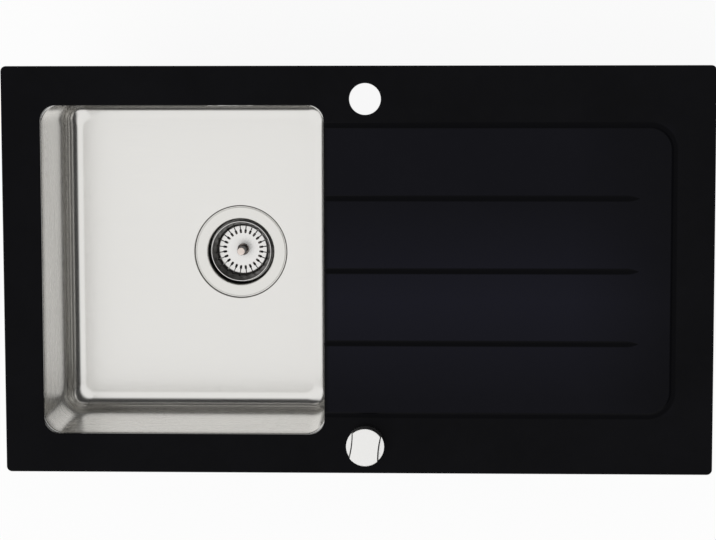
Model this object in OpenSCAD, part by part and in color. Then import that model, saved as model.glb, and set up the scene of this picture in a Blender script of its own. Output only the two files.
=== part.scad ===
// Inset kitchen sink: black glass deck, pressed steel bowl, basket strainer waste worked by a deck knob.
// The origin is the middle of the deck's outline on the worktop's surface. +X runs along the drainer,
// +Y to the tap side and +Z up. All sizes are in millimetres.

/* [Deck] */
// Length of the glass deck, left to right
deck_l = 860; // [820:5:1000]
// Width of the glass deck, front to back
deck_w = 495; // [485:5:520]
// Thickness of the toughened glass
glass_t = 8; // [6:0.5:10]
// Corner radius of the deck
deck_r = 6.5; // [4:0.5:16]
// Chamfer at the top of each drilled hole
hole_chamfer = 0.8; // [0.4:0.1:1.5]

/* [Bowl] */
// Inside length of the bowl, left to right
bowl_l = 343; // [300:1:380]
// Glass between the deck's long edges and the bowl
bowl_side = 47.5; // [46:0.5:75]
// Depth from the top of the glass to the bowl's floor
bowl_depth = 190; // [150:5:220]
// Glass between the deck's left edge and the bowl
bowl_margin = 47; // [42:1:60]
// Corner radius of the opening cut in the glass
opening_r = 18.5; // [12:0.5:26]
// Radius between the bowl's walls and its floor
floor_r = 22; // [10:1:28]
// Lean of the bowl's walls: how far their foot stands inside their top
wall_draft = 1; // [0.5:0.5:10]
// How much larger the radius of the bowl's upright corners is at their foot than its floor edge's
corner_over = 1; // [0.5:0.5:12]
// Thickness of the bowl's steel
steel_t = 1; // [0.8:0.1:1.5]
// Width of the bowl's flange under the glass
bowl_flange = 18; // [12:1:20]

/* [Drainer] */
// Glass between the deck's right edge and the drainer's border groove
drainer_margin = 49; // [40:1:90]
// Glass between the deck's long edges and the drainer's border groove
drainer_side = 71.5; // [66:0.5:96]
// Radius of the border groove's corners
drainer_r = 30; // [16:1:50]
// Number of straight grooves
groove_count = 3; // [1:1:5]
// Distance between straight grooves
groove_pitch = 88; // [50:1:95]
// Width of a groove at the glass's surface
groove_w = 7; // [4:0.5:10]
// Depth of a groove
groove_depth = 1; // [0.5:0.1:2]
// Glass between the straight grooves' ends and the border groove
groove_gap = 41; // [20:1:80]

/* [Deck holes] */
// Distance of both holes from the bowl's edge, towards the drainer
hole_gap = 50; // [45:1:80]
// Diameter of the tap hole
tap_hole_d = 38; // [35:0.5:38]
// Distance of the tap hole's centre from the back edge
tap_inset = 40; // [38:0.5:44]
// Diameter of the control knob's hole
knob_hole_d = 35; // [34:0.5:36]
// Distance of the knob's centre from the front edge
knob_inset = 35.5; // [35:0.5:42]

/* [Underside frame] */
// Thickness of the worktop seal when pressed
seal_t = 2; // [1:0.5:4]
// Width of the worktop seal
seal_w = 8; // [6:0.5:10]
// Thickness of the frame's steel
frame_t = 1; // [0.8:0.1:1.5]
// Set-back of the frame's edge from the deck's edge
frame_inset = 2; // [1:0.5:3]
// Width of the frame's flange
frame_flange = 15; // [13:0.5:15]
// Set-back of the frame's upright web from the deck's edge
web_inset = 13; // [12.5:0.25:13.5]
// Depth of the frame's web below the flange
web_depth = 20; // [18:1:24]
// Thickness of the adhesive under the glass
bond_t = 1; // [0.5:0.1:2]
// Width of the adhesive beads
bond_w = 10; // [6:0.5:12]

/* [Worktop clips] */
// Thickness of the worktop that the clips are set for
worktop_t = 38; // [34:1:44]
// Width of a clip's bracket
clip_w = 18; // [14:1:24]
// Thickness of a clip's steel
clip_t = 1.5; // [1.2:0.1:2]
// Diameter of a clip's screw
clip_screw_d = 5; // [4:0.5:6]
// Reach of a clip's jaw outside the frame's web
clip_reach = 12; // [8:0.5:14]

/* [Strainer waste] */
// Offset of the drain from the bowl's centre, towards the drainer
drain_x = 54; // [30:1:75]
// Offset of the drain from the bowl's centre, towards the back
drain_y = 6; // [-20:1:30]
// Gap between the strainer's flange and the wall of the recess pressed in the bowl's floor
recess_gap = 2; // [1:0.1:3]
// Depth of the recess
recess_depth = 3; // [2.5:0.1:5]
// Outside diameter of the strainer's flange
flange_d = 115; // [113:0.5:118]
// Width of the strainer's flange, from its edge to the throat
flange_w = 15.5; // [14:0.5:17]
// Thickness of the strainer cup's steel
cup_t = 1.2; // [0.8:0.1:1.5]
// Thickness of the seal between the strainer's flange and the bowl
cup_gasket_t = 1; // [0.5:0.1:1.5]
// Thickness of the seal between the bowl and the waste body
body_gasket_t = 2; // [1.5:0.1:3]
// Wall of the plastic waste body
body_wall = 3.5; // [3:0.1:4.5]
// Outside diameter of the outlet's thread, 1 1/2 inch
outlet_d = 47.8; // [44:0.1:50]
// Length of the outlet's thread
outlet_l = 22; // [16:1:30]
// Outside diameter of the overflow inlet
inlet_d = 21; // [18:0.5:22]

/* [Basket and stopper] */
// Gap between the basket's rim and the strainer's throat
basket_gap = 3; // [2:0.1:4]
// Depth of the basket, rim to floor
basket_depth = 30; // [28:0.5:31]
// Thickness of the basket's steel
basket_t = 0.8; // [0.6:0.1:1]
// Number of slots in the basket
slot_count = 24; // [12:1:26]
// Width of a slot
slot_w = 2.4; // [1.6:0.1:3]
// Diameter of the hole in the basket's floor
basket_hole_d = 14.6; // [13:0.2:16]
// Diameter of the stopper's post
post_d = 10; // [8:0.2:11]
// Lift of the stopper
stopper_lift = 7.5; // [5:0.5:7.5]
// Diameter of the lift rod
rod_d = 7.8; // [6:0.2:8]

/* [Overflow] */
// Depth of the overflow's centre below the top of the glass
overflow_drop = 57; // [50:1:70]
// Diameter of the overflow's cover plate
rosette_d = 58; // [50:1:64]
// Thickness of the overflow's cover plate
rosette_t = 1.6; // [1.2:0.1:2]
// Diameter of the hole in the bowl's back wall
overflow_hole_d = 46; // [36:1:48]
// Thickness of the overflow's seal
overflow_gasket_t = 2; // [1:0.5:3]
// Outside diameter of the ribbed hose
hose_d = 24; // [22:1:26]
// Distance between the hose's ribs
rib_pitch = 5; // [4:0.5:8]
// Bend radius of the hose
hose_bend_r = 60; // [50:1:64]

/* [Control knob] */
// Diameter of the knob
knob_d = 46; // [44:0.5:50]
// Height of the knob above the glass
knob_h = 22; // [19:0.5:28]
// Width of the knob's grip at its waist
grip_w = 31.3; // [26:0.1:34]
// Radius of the grip's hollowed sides
grip_r = 110; // [60:5:200]
// Drop from the knob's top to its side ledges
grip_drop = 7; // [3:0.5:8]
// Turn of the knob at rest, clockwise from above
knob_turn = 7; // [0:1:20]
// Diameter of the threaded sleeve through the glass
sleeve_d = 32; // [28:0.5:32]
// Diameter of the spindle
spindle_d = 10; // [8:0.5:12]
// Diameter of the drum that winds the cable
drum_d = 24; // [20:1:26]

/* [Control cable] */
// Outside diameter of the cable's sheath
cable_d = 5; // [4.5:0.1:6]

/* [Hidden] */

$fn = 64;
eps = 0.01;

// Clearances: parts of one body, parts that pass each other, threads, and the stopper under the basket
fit_gap = 0.1;
run_gap = 0.3;
thread_gap = 0.15;
lift_gap = 1;

// Heights, from the worktop's surface up
frame_z = seal_t;
flange_top = frame_z + frame_t;
glass_z = flange_top + bond_t;
glass_top = glass_z + glass_t;
floor_z = glass_top - bowl_depth;

// Places on the deck
bowl_w = deck_w - 2 * bowl_side;
bowl_r = floor_r + corner_over + wall_draft;
wall_h = flange_top - floor_z - floor_r;
draft_angle = atan(wall_draft / wall_h);
bowl_x = -deck_l / 2 + bowl_margin + bowl_l / 2;
bowl_right = bowl_x + bowl_l / 2;
hole_x = bowl_right + hole_gap;
waste_x = bowl_x + drain_x;
waste_y = drain_y;
tap_y = deck_w / 2 - tap_inset;
knob_y = -deck_w / 2 + knob_inset;
drainer_right = deck_l / 2 - drainer_margin;
drainer_w = deck_w - 2 * drainer_side;

// Diameters of the recess, the throat, the hole under them and the basket's rim
recess_d = flange_d + 2 * recess_gap;
throat_d = flange_d - 2 * flange_w;
hole_gap_r = 1.5;
bowl_hole_d = throat_d + 2 * cup_t + 2 * hole_gap_r;
basket_d = throat_d - 2 * basket_gap;

// Colours
black_glass = [0.03, 0.03, 0.035];
brushed = [0.78, 0.77, 0.74];
satin = [0.88, 0.88, 0.86];
zinc = [0.66, 0.68, 0.7];
dark_rubber = [0.12, 0.12, 0.12];
grey_plastic = [0.55, 0.56, 0.57];
black_plastic = [0.15, 0.15, 0.16];
ivory = [0.9, 0.87, 0.8];
white_plastic = [0.92, 0.92, 0.9];

// A rectangle with round corners
module rounded(l, w, r) {
    square([l - 2 * r, w], center = true);
    square([l, w - 2 * r], center = true);
    for (x = [-1, 1], y = [-1, 1])
        translate([x * (l / 2 - r), y * (w / 2 - r)])
            circle(r);
}

// A flat ring that follows the deck's outline, between two set-backs from its edge
module deck_ring(inset_out, inset_in, z0, z1) {
    translate([0, 0, z0])
        linear_extrude(z1 - z0)
            difference() {
                rounded(deck_l - 2 * inset_out, deck_w - 2 * inset_out, max(deck_r - inset_out, 2));
                rounded(deck_l - 2 * inset_in, deck_w - 2 * inset_in, 2);
            }
}

// A tube or a ring about Z
module ring(d_out, d_in, z0, z1) {
    translate([0, 0, z0])
        difference() {
            cylinder(d = d_out, h = z1 - z0);
            translate([0, 0, -1])
                cylinder(d = d_in, h = z1 - z0 + 2);
        }
}

module at_waste() {
    translate([waste_x, waste_y, floor_z])
        children();
}

module at_knob() {
    translate([hole_x, knob_y, 0])
        children();
}

// Glass deck

cutter_r = (groove_w * groove_w / 4 + groove_depth * groove_depth) / (2 * groove_depth);
cutter_z = glass_top + cutter_r - groove_depth;
border_y = drainer_w / 2;
border_start = bowl_right - 20;
arc_x = drainer_right - drainer_r;

module groove_line(x0, x1, y) {
    translate([x0, y, cutter_z])
        rotate([0, 90, 0])
            cylinder(r = cutter_r, h = x1 - x0);
}

module border_groove() {
    for (side = [-1, 1]) {
        groove_line(border_start, arc_x, side * border_y);
        translate([arc_x, side * (border_y - drainer_r), cutter_z])
            rotate([0, 0, side > 0 ? 0 : -90])
                rotate_extrude(angle = 90)
                    translate([drainer_r, 0])
                        intersection() {
                            circle(cutter_r);
                            translate([-groove_w, -cutter_r - 1])
                                square([2 * groove_w, cutter_r]);
                        }
    }
    translate([drainer_right, border_y - drainer_r, cutter_z])
        rotate([90, 0, 0])
            cylinder(r = cutter_r, h = 2 * (border_y - drainer_r));
}

module straight_grooves() {
    first = -(groove_count - 1) / 2;
    for (i = [0 : groove_count - 1]) {
        y = (first + i) * groove_pitch;
        groove_line(border_start, drainer_right - groove_gap, y);
        translate([drainer_right - groove_gap, y, cutter_z])
            sphere(cutter_r);
    }
}

module drilled_hole(d) {
    translate([0, 0, glass_z - 1])
        cylinder(d = d, h = glass_t + 2);
    translate([0, 0, glass_top - hole_chamfer])
        cylinder(d1 = d, d2 = d + 2 * hole_chamfer + 2 * eps, h = hole_chamfer + eps);
}

module glass_deck() {
    color(black_glass)
        difference() {
            translate([0, 0, glass_z])
                linear_extrude(glass_t)
                    difference() {
                        rounded(deck_l, deck_w, deck_r);
                        translate([bowl_x, 0])
                            rounded(bowl_l, bowl_w, opening_r);
                    }
            border_groove();
            straight_grooves();
            translate([hole_x, tap_y, 0])
                drilled_hole(tap_hole_d);
            translate([hole_x, knob_y, 0])
                drilled_hole(knob_hole_d);
        }
}

// Adhesive between the glass and what hangs from it

module glass_bond() {
    bead_in = 3;
    color(dark_rubber) {
        deck_ring(frame_inset + 2, frame_inset + 2 + bond_w, flange_top, glass_z);
        translate([bowl_x, 0, flange_top])
            linear_extrude(bond_t)
                difference() {
                    rounded(bowl_l + 2 * (bead_in + bond_w), bowl_w + 2 * (bead_in + bond_w), bowl_r + 6);
                    rounded(bowl_l + 2 * bead_in, bowl_w + 2 * bead_in, bowl_r);
                }
    }
}

// Frame under the deck's edge, which the clips hook into

slot_z = frame_z - 10;
slot_h = 5;
hole_relief = 46;

// Where the clips stand: along the long edges clear of the deck holes, and two on each short edge
clip_corner_gap = 90;
clip_hole_gap = 66;
clip_side_gap = 138.5;
clip_last = deck_l / 2 - clip_corner_gap;
clip_mid = hole_x - clip_hole_gap;
clip_x = [-clip_last, clip_mid, (clip_mid + clip_last) / 2, clip_last];
clip_y = deck_w / 2 - clip_side_gap;
clip_places = [
    for (turn = [0, 180], x = clip_x) [x, turn],
    for (turn = [90, 270], y = [-clip_y, clip_y]) [y, turn]
];

// Local frame of a clip: +Y points out of the web's inner face, Z as the sink
module at_clips() {
    web_in = web_inset + frame_t;
    for (place = clip_places) {
        along = place[0];
        turn = place[1];
        if (turn == 0)
            translate([along, deck_w / 2 - web_in, 0])
                children();
        if (turn == 180)
            translate([along, -deck_w / 2 + web_in, 0])
                rotate([0, 0, 180])
                    children();
        if (turn == 90)
            translate([-deck_l / 2 + web_in, along, 0])
                rotate([0, 0, 90])
                    children();
        if (turn == 270)
            translate([deck_l / 2 - web_in, along, 0])
                rotate([0, 0, -90])
                    children();
    }
}

module support_frame() {
    color(zinc)
        difference() {
            union() {
                deck_ring(frame_inset, frame_inset + frame_flange, frame_z, flange_top);
                deck_ring(web_inset, web_inset + frame_t, frame_z - web_depth, flange_top);
            }
            at_clips()
                translate([-clip_w / 2 - 1, -frame_t, slot_z])
                    cube([clip_w + 2, 3 * frame_t, slot_h]);
            for (hole_y = [tap_y, knob_y])
                translate([hole_x, hole_y, frame_z - eps])
                    cylinder(d = hole_relief, h = frame_t + 2 * eps);
        }
}

module worktop_seal() {
    color(dark_rubber)
        deck_ring(frame_inset + 1, frame_inset + 1 + seal_w, 0, seal_t);
}

// Pressed bowl: one wall section, run along the four sides and turned round the four corners

// Reach of the wall's inner face from the corner's axis at a height
function wall_reach(z) = bowl_r - wall_draft * (flange_top - z) / wall_h;

// Solid of the section: x is the distance out of the corner's axis, y is the height
module section_fill(out, top) {
    r = floor_r + out;
    foot_z = floor_z + floor_r;
    foot = wall_reach(foot_z) + out;
    translate([0, foot_z - r])
        square([foot - r, r + eps]);
    polygon([[0, foot_z], [foot, foot_z], [wall_reach(top) + out, top], [0, top]]);
    translate([foot - r, foot_z])
        intersection() {
            circle(r);
            translate([0, -r])
                square([r, r + eps]);
        }
}

module wall_section() {
    difference() {
        section_fill(steel_t, flange_top);
        section_fill(0, flange_top + 1);
    }
    translate([bowl_r + steel_t - eps, flange_top - steel_t])
        square([bowl_flange - steel_t + eps, steel_t]);
}

module bowl_run(length) {
    rotate([90, 0, 0])
        translate([0, 0, -length / 2])
            linear_extrude(length)
                wall_section();
}

module bowl_shell() {
    half_l = bowl_l / 2 - bowl_r;
    half_w = bowl_w / 2 - bowl_r;
    translate([half_l, 0, 0])
        bowl_run(2 * half_w);
    translate([-half_l, 0, 0])
        rotate([0, 0, 180])
            bowl_run(2 * half_w);
    translate([0, half_w, 0])
        rotate([0, 0, 90])
            bowl_run(2 * half_l);
    translate([0, -half_w, 0])
        rotate([0, 0, -90])
            bowl_run(2 * half_l);
    corners = [[half_l, half_w, 0], [-half_l, half_w, 90], [-half_l, -half_w, 180], [half_l, -half_w, 270]];
    for (c = corners)
        translate([c[0], c[1], 0])
            rotate([0, 0, c[2]])
                rotate_extrude(angle = 90)
                    wall_section();
    translate([-half_l, -half_w, floor_z - steel_t])
        cube([2 * half_l, 2 * half_w, steel_t]);
}

overflow_z = glass_top - overflow_drop;
overflow_x = waste_x;
overflow_y = bowl_w / 2 - wall_draft * (flange_top - overflow_z) / wall_h;

module bowl() {
    color(brushed)
        difference() {
            union() {
                translate([bowl_x, 0, 0])
                    bowl_shell();
                at_waste()
                    translate([0, 0, -recess_depth - steel_t])
                        cylinder(d = recess_d + 2 * steel_t, h = recess_depth + steel_t / 2);
            }
            at_waste() {
                translate([0, 0, -recess_depth])
                    cylinder(d = recess_d, h = recess_depth + 1);
                translate([0, 0, -recess_depth - steel_t - 1])
                    cylinder(d = bowl_hole_d, h = steel_t + 2);
            }
            on_back_wall(-1)
                cylinder(d = overflow_hole_d, h = steel_t + 2);
        }
}

// Sound-deadening pads stuck to the bowl's underside and walls

pad_t = 2;
pad_h = 90;
pad_edge = 12;

// On the outer face of a side wall, X pointing out of it and Z up along it from the flange
module on_side(turn, half) {
    translate([bowl_x, 0, flange_top])
        rotate([0, 0, turn])
            translate([half + steel_t, 0, 0])
                rotate([0, draft_angle, 0])
                    children();
}

module side_pad(width) {
    translate([0, -width / 2, floor_z + floor_r + 2 * pad_edge - flange_top])
        cube([pad_t, width, pad_h]);
}

module sound_pads() {
    side_w = bowl_w * 0.5;
    front_w = bowl_l * 0.5;
    waste_left = waste_x - recess_d / 2 - steel_t;
    floor_inset = wall_draft + floor_r + pad_edge;
    floor_left = bowl_x - bowl_l / 2 + floor_inset;
    color(dark_rubber) {
        for (turn = [0, 180])
            on_side(turn, bowl_l / 2)
                side_pad(side_w);
        on_side(-90, bowl_w / 2)
            side_pad(front_w);
        translate([floor_left, -bowl_w / 2 + floor_inset, floor_z - steel_t - pad_t])
            cube([waste_left - pad_edge - floor_left, bowl_w - 2 * floor_inset, pad_t]);
    }
}

// Worktop clips: a bracket hooked in the web, a jaw under the worktop and the screw that draws it up

shelf_drop = 14;
shelf_z = slot_z - shelf_drop;
shelf_l = 18;
bracket_gap = 5;
lip_t = 1.2;
lip_h = 5.5;
screw_y = -11;
screw_r = clip_screw_d / 2;
screw_over = 8;
head_r = 5;
head_h = 4;
driver_w = 1.2;
jaw_t = 2;
jaw_rise = 12;
jaw_heel = 19;
jaw_z = -worktop_t - jaw_rise;

module clip_bracket() {
    hook_z = slot_z + frame_t;
    difference() {
        union() {
            translate([-clip_w / 2, -clip_t, shelf_z])
                cube([clip_w, clip_t, frame_z - bracket_gap - shelf_z]);
            translate([-clip_w / 2, -clip_t, hook_z])
                cube([clip_w, clip_t + frame_t + lip_t, clip_t]);
            translate([-clip_w / 2, frame_t, hook_z])
                cube([clip_w, lip_t, lip_h]);
            translate([-clip_w / 2, -shelf_l, shelf_z])
                cube([clip_w, shelf_l, clip_t]);
        }
        translate([0, screw_y, shelf_z - clip_t])
            cylinder(r = screw_r + fit_gap, h = 3 * clip_t);
    }
}

module clip_jaw() {
    width = clip_w - 2;
    tip_y = frame_t + clip_reach;
    tooth = width / 4;
    difference() {
        union() {
            translate([-width / 2, -jaw_heel, jaw_z - jaw_t])
                cube([width, tip_y + jaw_heel, jaw_t]);
            translate([-width / 2, tip_y - jaw_t, jaw_z - jaw_t])
                cube([width, jaw_t, jaw_rise + jaw_t]);
            translate([-width / 2, -jaw_heel, jaw_z - jaw_t])
                cube([width, jaw_t, jaw_rise * 1.5]);
        }
        translate([0, screw_y, jaw_z - 2 * jaw_t])
            cylinder(r = screw_r + run_gap, h = 3 * jaw_t);
        for (x = [-tooth, tooth])
            translate([x, tip_y - 2 * jaw_t, -worktop_t])
                rotate([-90, 0, 0])
                    cylinder(d = tooth, h = 3 * jaw_t, $fn = 4);
    }
}

module clip_screw() {
    foot_z = jaw_z - jaw_t;
    difference() {
        union() {
            translate([0, screw_y, foot_z])
                cylinder(r = screw_r, h = shelf_z + screw_over - foot_z);
            translate([0, screw_y, foot_z - head_h])
                cylinder(r = head_r, h = head_h);
        }
        translate([-2 * head_r, screw_y - driver_w / 2, foot_z - 1.3 * head_h])
            cube([4 * head_r, driver_w, 0.6 * head_h]);
    }
}

module clip_brackets() {
    color(zinc)
        at_clips()
            clip_bracket();
}

module clip_jaws() {
    color(zinc)
        at_clips()
            clip_jaw();
}

module clip_screws() {
    color(zinc)
        at_clips()
            clip_screw();
}

// Strainer waste. Heights below are measured down from the bowl's floor.

throat_r = throat_d / 2;
flange_under = -recess_depth + cup_gasket_t;
basket_top = -6;
basket_floor = basket_top - basket_depth;
rim_h = 16;
ledge_z = basket_top - rim_h;
ledge_w = 6;
ledge_r = throat_r - ledge_w;
seal_h = 1.2;
plug_t = 1.5;
seat_z = basket_floor - basket_t - lift_gap - stopper_lift - plug_t - seal_h;
seat_w = 16;
seat_r = throat_r - seat_w;
well_h = 8;
cup_foot_z = seat_z - well_h;
hub_hole_r = 6.2;
cup_side_r = ledge_r + cup_t;

module strainer_cup() {
    color(brushed)
        at_waste()
            difference() {
                rotate_extrude()
                    polygon([
                        [flange_d / 2, flange_under], [flange_d / 2, flange_under + cup_t],
                        [throat_r, flange_under + cup_t], [throat_r, ledge_z], [ledge_r, ledge_z],
                        [ledge_r, seat_z], [seat_r, seat_z], [seat_r, cup_foot_z + cup_t],
                        [hub_hole_r, cup_foot_z + cup_t], [hub_hole_r, cup_foot_z],
                        [seat_r + cup_t, cup_foot_z], [seat_r + cup_t, seat_z - cup_t],
                        [cup_side_r, seat_z - cup_t], [cup_side_r, ledge_z - cup_t],
                        [throat_r + cup_t, ledge_z - cup_t], [throat_r + cup_t, flange_under]
                    ]);
                for (i = [0 : 5])
                    rotate([0, 0, 30 + 60 * i])
                        translate([(seat_r + hub_hole_r + 3) / 2, 0, cup_foot_z - 1])
                            cylinder(r = (seat_r - hub_hole_r - 3) / 2 - 2, h = cup_t + 2);
            }
}

module cup_gasket() {
    color(dark_rubber)
        at_waste()
            ring(flange_d - 1, bowl_hole_d + 0.6, -recess_depth, flange_under);
}

body_top = -recess_depth - steel_t - body_gasket_t;
body_in_r = throat_r + cup_t + 2.3;
body_out_r = body_in_r + body_wall;
body_rim_d = flange_d - 2;
sump_h = 16;
body_floor = cup_foot_z - sump_h;
body_foot = body_floor - 4;
hub_r = 11;

module body_gasket() {
    color(dark_rubber)
        at_waste()
            ring(body_rim_d, 2 * body_in_r, body_top, body_top + body_gasket_t);
}

// Lever box under the waste body
box_h = 30;
box_end = 10;
lever_arm = 20;
lever_depth = 14;
lever_z = body_foot - lever_depth;
lever_drop = 11;
box_wall = 2;
box_in_y = 10;
box_left = -lever_arm - box_end;
box_right = lever_arm;
box_foot = body_foot - box_h;
pin_r = 2.5;
gland_z = lever_z - lever_drop;

outlet_z = -50;
outlet_neck = 6;
outlet_end = body_out_r + outlet_neck + outlet_l;
inlet_z = -32;
inlet_l = 22;
inlet_wall = 2;
inlet_end = body_out_r + inlet_l;
rod_r = rod_d / 2;
rod_seal_r = rod_r + 2.5;
rod_seal_h = 3;

module waste_body() {
    color(grey_plastic)
        at_waste()
            difference() {
                union() {
                    translate([0, 0, body_top - 4])
                        cylinder(d = body_rim_d, h = 4);
                    translate([0, 0, body_foot])
                        cylinder(r = body_out_r, h = body_top - body_foot - 1);
                    translate([0, 0, outlet_z])
                        rotate([0, -90, 0]) {
                            cylinder(d = outlet_d, h = outlet_end);
                            cylinder(d = outlet_d + 3, h = outlet_end - outlet_l);
                        }
                    translate([0, 0, inlet_z])
                        rotate([-90, 0, 0])
                            cylinder(d = inlet_d, h = inlet_end);
                    translate([box_left - box_wall, -box_in_y - box_wall, box_foot])
                        cube([box_right - box_left + 2 * box_wall, 2 * (box_in_y + box_wall),
                              body_foot - box_foot + 1]);
                }
                difference() {
                    translate([0, 0, body_floor])
                        cylinder(r = body_in_r, h = body_top - body_floor + 1);
                    translate([0, 0, body_floor - 1])
                        cylinder(r = hub_r, h = cup_foot_z - body_floor + 1);
                }
                translate([-body_in_r + 4, 0, outlet_z])
                    rotate([0, -90, 0])
                        cylinder(d = outlet_d - 2 * body_wall, h = outlet_end);
                translate([0, body_in_r - 4, inlet_z])
                    rotate([-90, 0, 0])
                        cylinder(d = inlet_d - 2 * inlet_wall, h = inlet_end);
                translate([0, 0, cup_foot_z - 15])
                    cylinder(r = hub_hole_r, h = 16);
                translate([0, 0, body_foot - 3])
                    cylinder(r = rod_r + run_gap, h = cup_foot_z - body_foot);
                translate([0, 0, body_foot - 1])
                    cylinder(r = rod_seal_r, h = rod_seal_h + 1);
                translate([box_left, -box_in_y, box_foot - 1])
                    cube([box_right - box_left, 2 * box_in_y, body_foot - box_foot]);
                translate([-lever_arm, 0, lever_z])
                    rotate([90, 0, 0])
                        cylinder(r = pin_r + 0.05, h = 2 * (box_in_y + box_wall) + 2, center = true);
                translate([box_right - 1, 0, gland_z])
                    rotate([0, 90, 0])
                        cylinder(r = cable_d / 2 + 0.8, h = box_wall + 2);
            }
}

module hollow_screw() {
    shank_r = hub_hole_r - 0.2;
    color(zinc)
        at_waste()
            difference() {
                union() {
                    translate([0, 0, cup_foot_z - 13])
                        cylinder(r = shank_r, h = 13 + cup_t);
                    translate([0, 0, cup_foot_z + cup_t])
                        cylinder(r = shank_r + 3.5, h = 4, $fn = 6);
                }
                translate([0, 0, cup_foot_z - 14])
                    cylinder(r = rod_r + run_gap, h = 22);
            }
}

module rod_seal() {
    color(dark_rubber)
        at_waste()
            ring(2 * rod_seal_r - 0.1, 2 * (rod_r + fit_gap), body_foot + 0.1, body_foot + rod_seal_h);
}

module lever_cover() {
    lip = 1.5;
    color(grey_plastic)
        at_waste() {
            translate([box_left - box_wall, -box_in_y - box_wall, box_foot - box_wall])
                cube([box_right - box_left + 2 * box_wall, 2 * (box_in_y + box_wall), box_wall]);
            translate([box_left + fit_gap, -box_in_y + fit_gap, box_foot - eps])
                cube([box_right - box_left - 2 * fit_gap, lip, lip]);
            translate([box_left + fit_gap, box_in_y - fit_gap - lip, box_foot - eps])
                cube([box_right - box_left - 2 * fit_gap, lip, lip]);
        }
}

module lever_pin() {
    color(zinc)
        at_waste()
            translate([-lever_arm, 0, lever_z])
                rotate([90, 0, 0])
                    cylinder(r = pin_r, h = 2 * (box_in_y + box_wall), center = true);
}

tip_r = 3.5;
lever_w = 7;

module lift_lever() {
    color(white_plastic)
        at_waste()
            difference() {
                union() {
                    translate([-lever_arm, 0, lever_z])
                        rotate([90, 0, 0])
                            cylinder(r = 5, h = 2 * box_in_y - 2, center = true);
                    translate([-lever_arm, -lever_w / 2, lever_z - 2.5])
                        cube([lever_arm, lever_w, 5]);
                    translate([0, 0, lever_z])
                        rotate([90, 0, 0])
                            cylinder(r = tip_r, h = lever_w, center = true);
                    translate([-lever_arm - 2.5, -lever_w / 2, gland_z - 2.5])
                        cube([5, lever_w, lever_drop + 2.5]);
                }
                translate([-lever_arm, 0, lever_z])
                    rotate([90, 0, 0])
                        cylinder(r = pin_r + fit_gap, h = 2 * box_in_y + 2, center = true);
                translate([-lever_arm, 0, gland_z])
                    rotate([0, 90, 0])
                        cylinder(r = 1, h = 10, center = true);
            }
}

// Basket and stopper

rim_r = basket_d / 2;
rim_w = 1.3;
rim_t = 1.2;
bead_r = ledge_r + 0.8;
bead_h = 1.2;
shoulder_r = ledge_r - 0.8;
side_r = shoulder_r - 2.2;
disc_r = side_r - 7.1;
slope_h = 3.5;
slot_in_r = disc_r - 4.5;
slot_top = ledge_z - 1.4;

module strainer_basket() {
    t = basket_t;
    color(brushed)
        at_waste()
            difference() {
                rotate_extrude()
                    polygon([
                        [basket_hole_d / 2, basket_floor - t], [disc_r, basket_floor - t],
                        [side_r + t, basket_floor + slope_h - t], [shoulder_r, ledge_z], [bead_r, ledge_z],
                        [bead_r, ledge_z + bead_h], [shoulder_r + 0.3, ledge_z + 1.5 * bead_h],
                        [rim_r - 0.5, basket_top - rim_t], [rim_r, basket_top - rim_t], [rim_r, basket_top],
                        [rim_r - rim_w, basket_top], [shoulder_r - 0.6, ledge_z + 1.5 * bead_h],
                        [side_r, basket_floor + slope_h], [disc_r, basket_floor], [basket_hole_d / 2, basket_floor]
                    ]);
                for (i = [0 : slot_count - 1])
                    rotate([0, 0, (i + 0.5) * 360 / slot_count])
                        translate([slot_in_r, -slot_w / 2, basket_floor - 2])
                            cube([shoulder_r - slot_in_r + 2, slot_w, slot_top - basket_floor + 2]);
            }
}

plug_z = seat_z + seal_h;
plug_r = seat_r - 5;
plug_lip = 2;
lip_gap = 0.7;
post_above = 4;
post_chamfer = 1;
post_top = basket_top + post_above;

module stopper() {
    color(ivory)
        at_waste() {
            translate([0, 0, plug_z])
                cylinder(r = plug_r, h = plug_t);
            translate([0, 0, plug_z + lip_gap])
                cylinder(r = plug_r + plug_lip, h = plug_t - lip_gap);
            translate([0, 0, plug_z])
                cylinder(r = post_d / 2, h = post_top - plug_z - post_chamfer);
            translate([0, 0, post_top - post_chamfer])
                cylinder(r1 = post_d / 2, r2 = post_d / 2 - post_chamfer, h = post_chamfer);
        }
}

module stopper_seal() {
    color(dark_rubber)
        at_waste()
            ring(2 * seat_r + 7, 2 * plug_r, seat_z, plug_z + lip_gap);
}

module lift_rod() {
    rod_foot = lever_z + tip_r + run_gap;
    color(zinc)
        at_waste()
            translate([0, 0, rod_foot])
                cylinder(r = rod_r, h = plug_z - rod_foot);
}

// Overflow in the bowl's back wall

wall_y = bowl_w / 2 + steel_t;
elbow_y = steel_t + overflow_gasket_t;
hose_r = hose_d / 2;
nut_wall = 3;
nut_grip = 1.4;
nut_h = 12;
elbow_axis_y = wall_y + hose_r + nut_wall + nut_grip + 1;
spigot_r = hose_r - 3.4;
elbow_depth = elbow_axis_y + spigot_r + 1 - overflow_y - steel_t - overflow_gasket_t;
elbow_drop = 34;
elbow_foot = overflow_z - elbow_drop;
overflow_screw_d = 5;
countersink_d = 9.4;
screw_grip = 7;
boss_d = 16;
boss_t = 3.4;

// On the overflow's axis, Z pointing out through the back wall from its inner face
module on_back_wall(z) {
    translate([overflow_x, overflow_y, overflow_z])
        rotate([-90 - draft_angle, 0, 0])
            translate([0, 0, z])
                children();
}

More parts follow.
